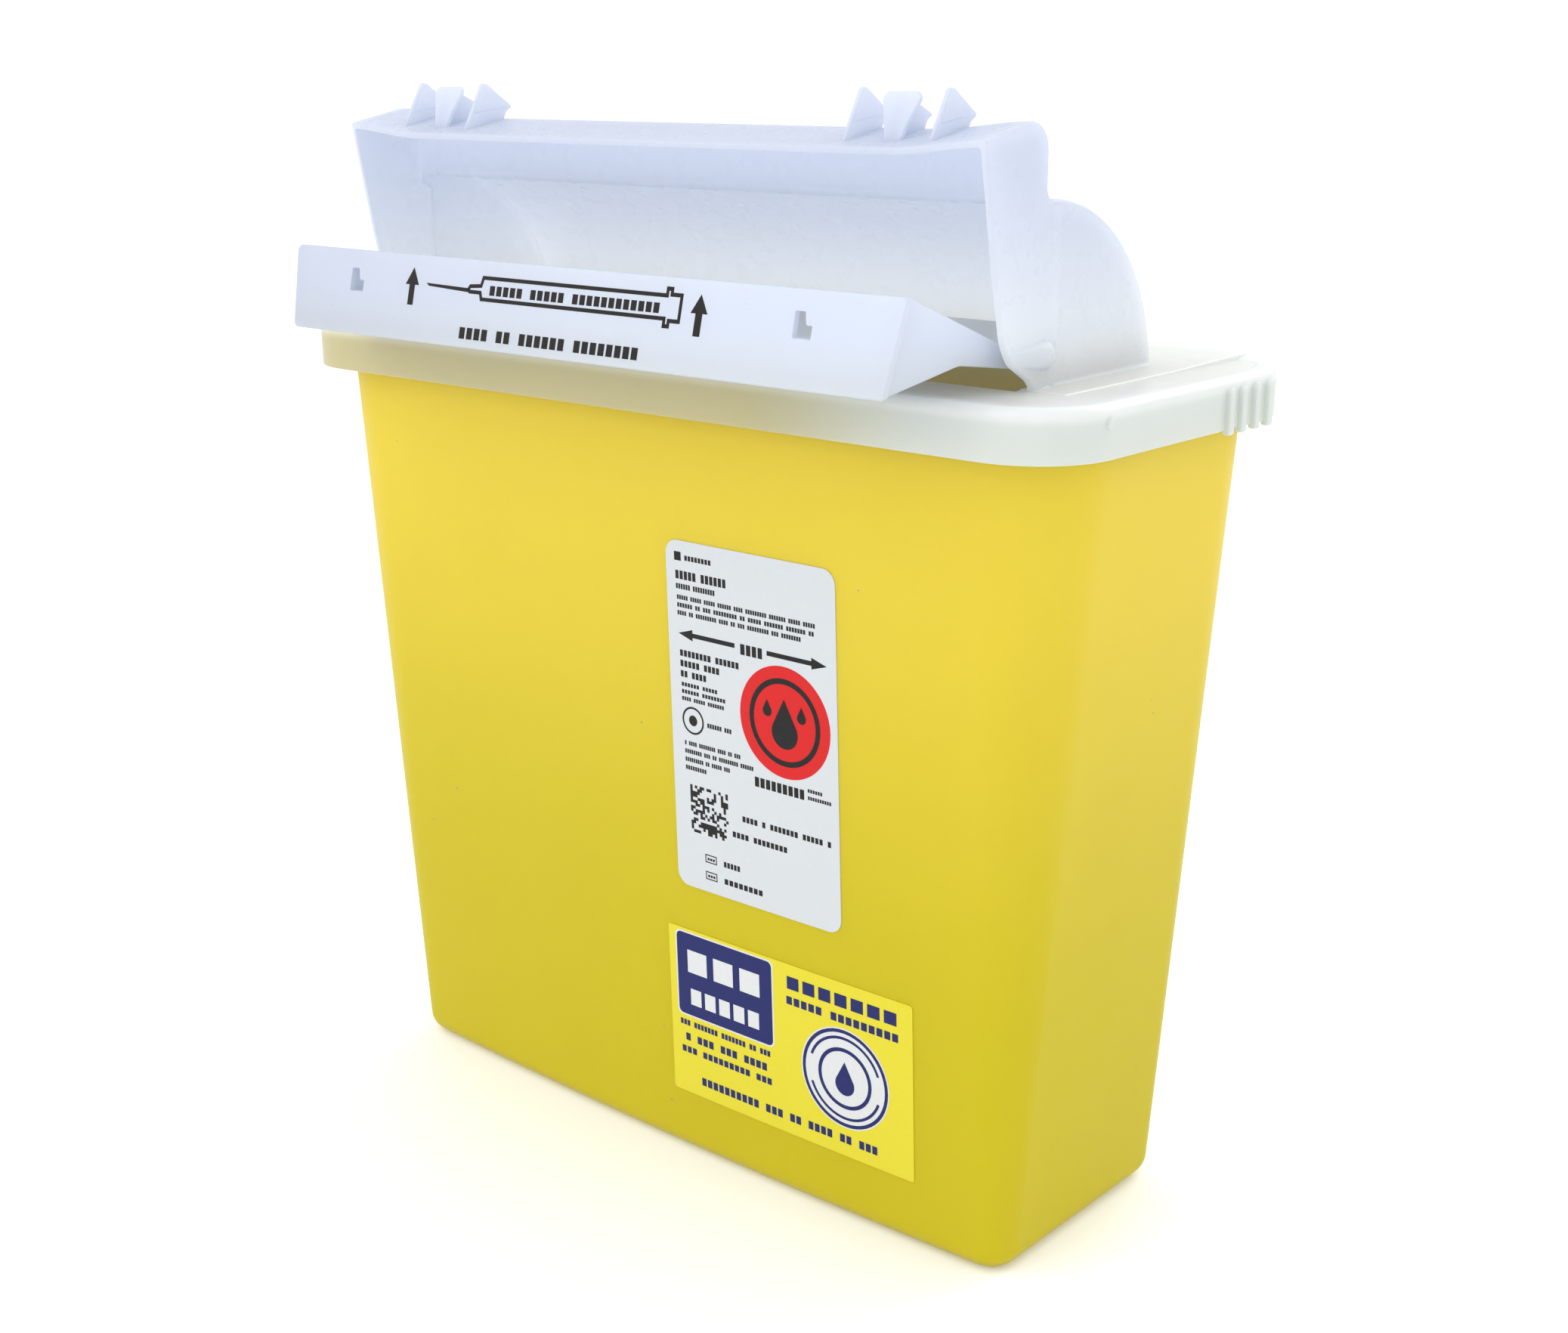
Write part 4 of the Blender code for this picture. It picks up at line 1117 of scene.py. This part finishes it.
def make_stage():
    sheet = bmesh.new()
    bmesh.ops.create_circle(sheet, cap_ends=True, radius=6000.0, segments=96)
    floor = publish("floor", sheet)
    material = bpy.data.materials.new("floor_pale")
    material.use_nodes = True
    tree = material.node_tree
    shader = tree.nodes["Principled BSDF"]
    shader.inputs["Roughness"].default_value = 0.7
    shader.inputs["Emission Color"].default_value = (0.9, 0.95, 1.0, 1.0)
    shader.inputs["Emission Strength"].default_value = 0.12
    place = add(tree, "ShaderNodeTexCoord")
    noise = add(tree, "ShaderNodeTexNoise", Scale=3.0, Detail=2.0)
    tree.links.new(place.outputs["Object"], noise.inputs["Vector"])
    tone = add(tree, "ShaderNodeMix", {"data_type": "RGBA"})
    tone.inputs["A"].default_value = (0.92, 0.92, 0.92, 1.0)
    tone.inputs["B"].default_value = (0.95, 0.95, 0.95, 1.0)
    tree.links.new(noise.outputs["Fac"], tone.inputs["Factor"])
    tree.links.new(tone.outputs["Result"], shader.inputs["Base Color"])
    floor.data.materials.append(material)


def make_world(strength):
    world = bpy.data.worlds.new("studio")
    world.use_nodes = True
    sky = world.node_tree.nodes["Background"]
    sky.inputs["Color"].default_value = (1.0, 1.0, 1.0, 1.0)
    sky.inputs["Strength"].default_value = strength
    bpy.context.scene.world = world


def softbox(name, place, aim, size, power):
    """A soft rectangular lamp, placed and aimed in metres."""
    lamp = bpy.data.lights.new(name, "AREA")
    lamp.shape = "RECTANGLE"
    lamp.size, lamp.size_y = size
    lamp.energy = power
    holder = bpy.data.objects.new(name, lamp)
    holder.location = place
    holder.rotation_euler = (Vector(aim) - Vector(place)).to_track_quat("-Z", "Y").to_euler()
    bpy.context.scene.collection.objects.link(holder)


def make_camera():
    camera = bpy.data.cameras.new("camera")
    camera.sensor_fit = "HORIZONTAL"
    camera.sensor_width = 36.0
    camera.lens = 48.09
    camera.clip_start = 0.01
    holder = bpy.data.objects.new("camera", camera)
    yaw, pitch, roll = 40.93, -16.16, -0.12
    turn = Matrix.Rotation(math.radians(yaw), 4, "Z") @ Matrix.Rotation(math.radians(90 + pitch), 4, "X")
    turn = turn @ Matrix.Rotation(math.radians(roll), 4, "Z")
    holder.matrix_world = Matrix.Translation((0.38568, -0.43497, 0.30445)) @ turn
    bpy.context.scene.collection.objects.link(holder)
    bpy.context.scene.camera = holder


make_stage()
make_world(1.1)
middle = (0.0, 0.0, 0.14)
softbox("key", (-0.9, -1.3, 1.5), middle, (1.6, 1.6), 11.0)
softbox("back", (0.3, 1.4, 1.2), middle, (1.4, 1.0), 10.0)
make_camera()
bpy.context.scene.view_settings.view_transform = "Standard"
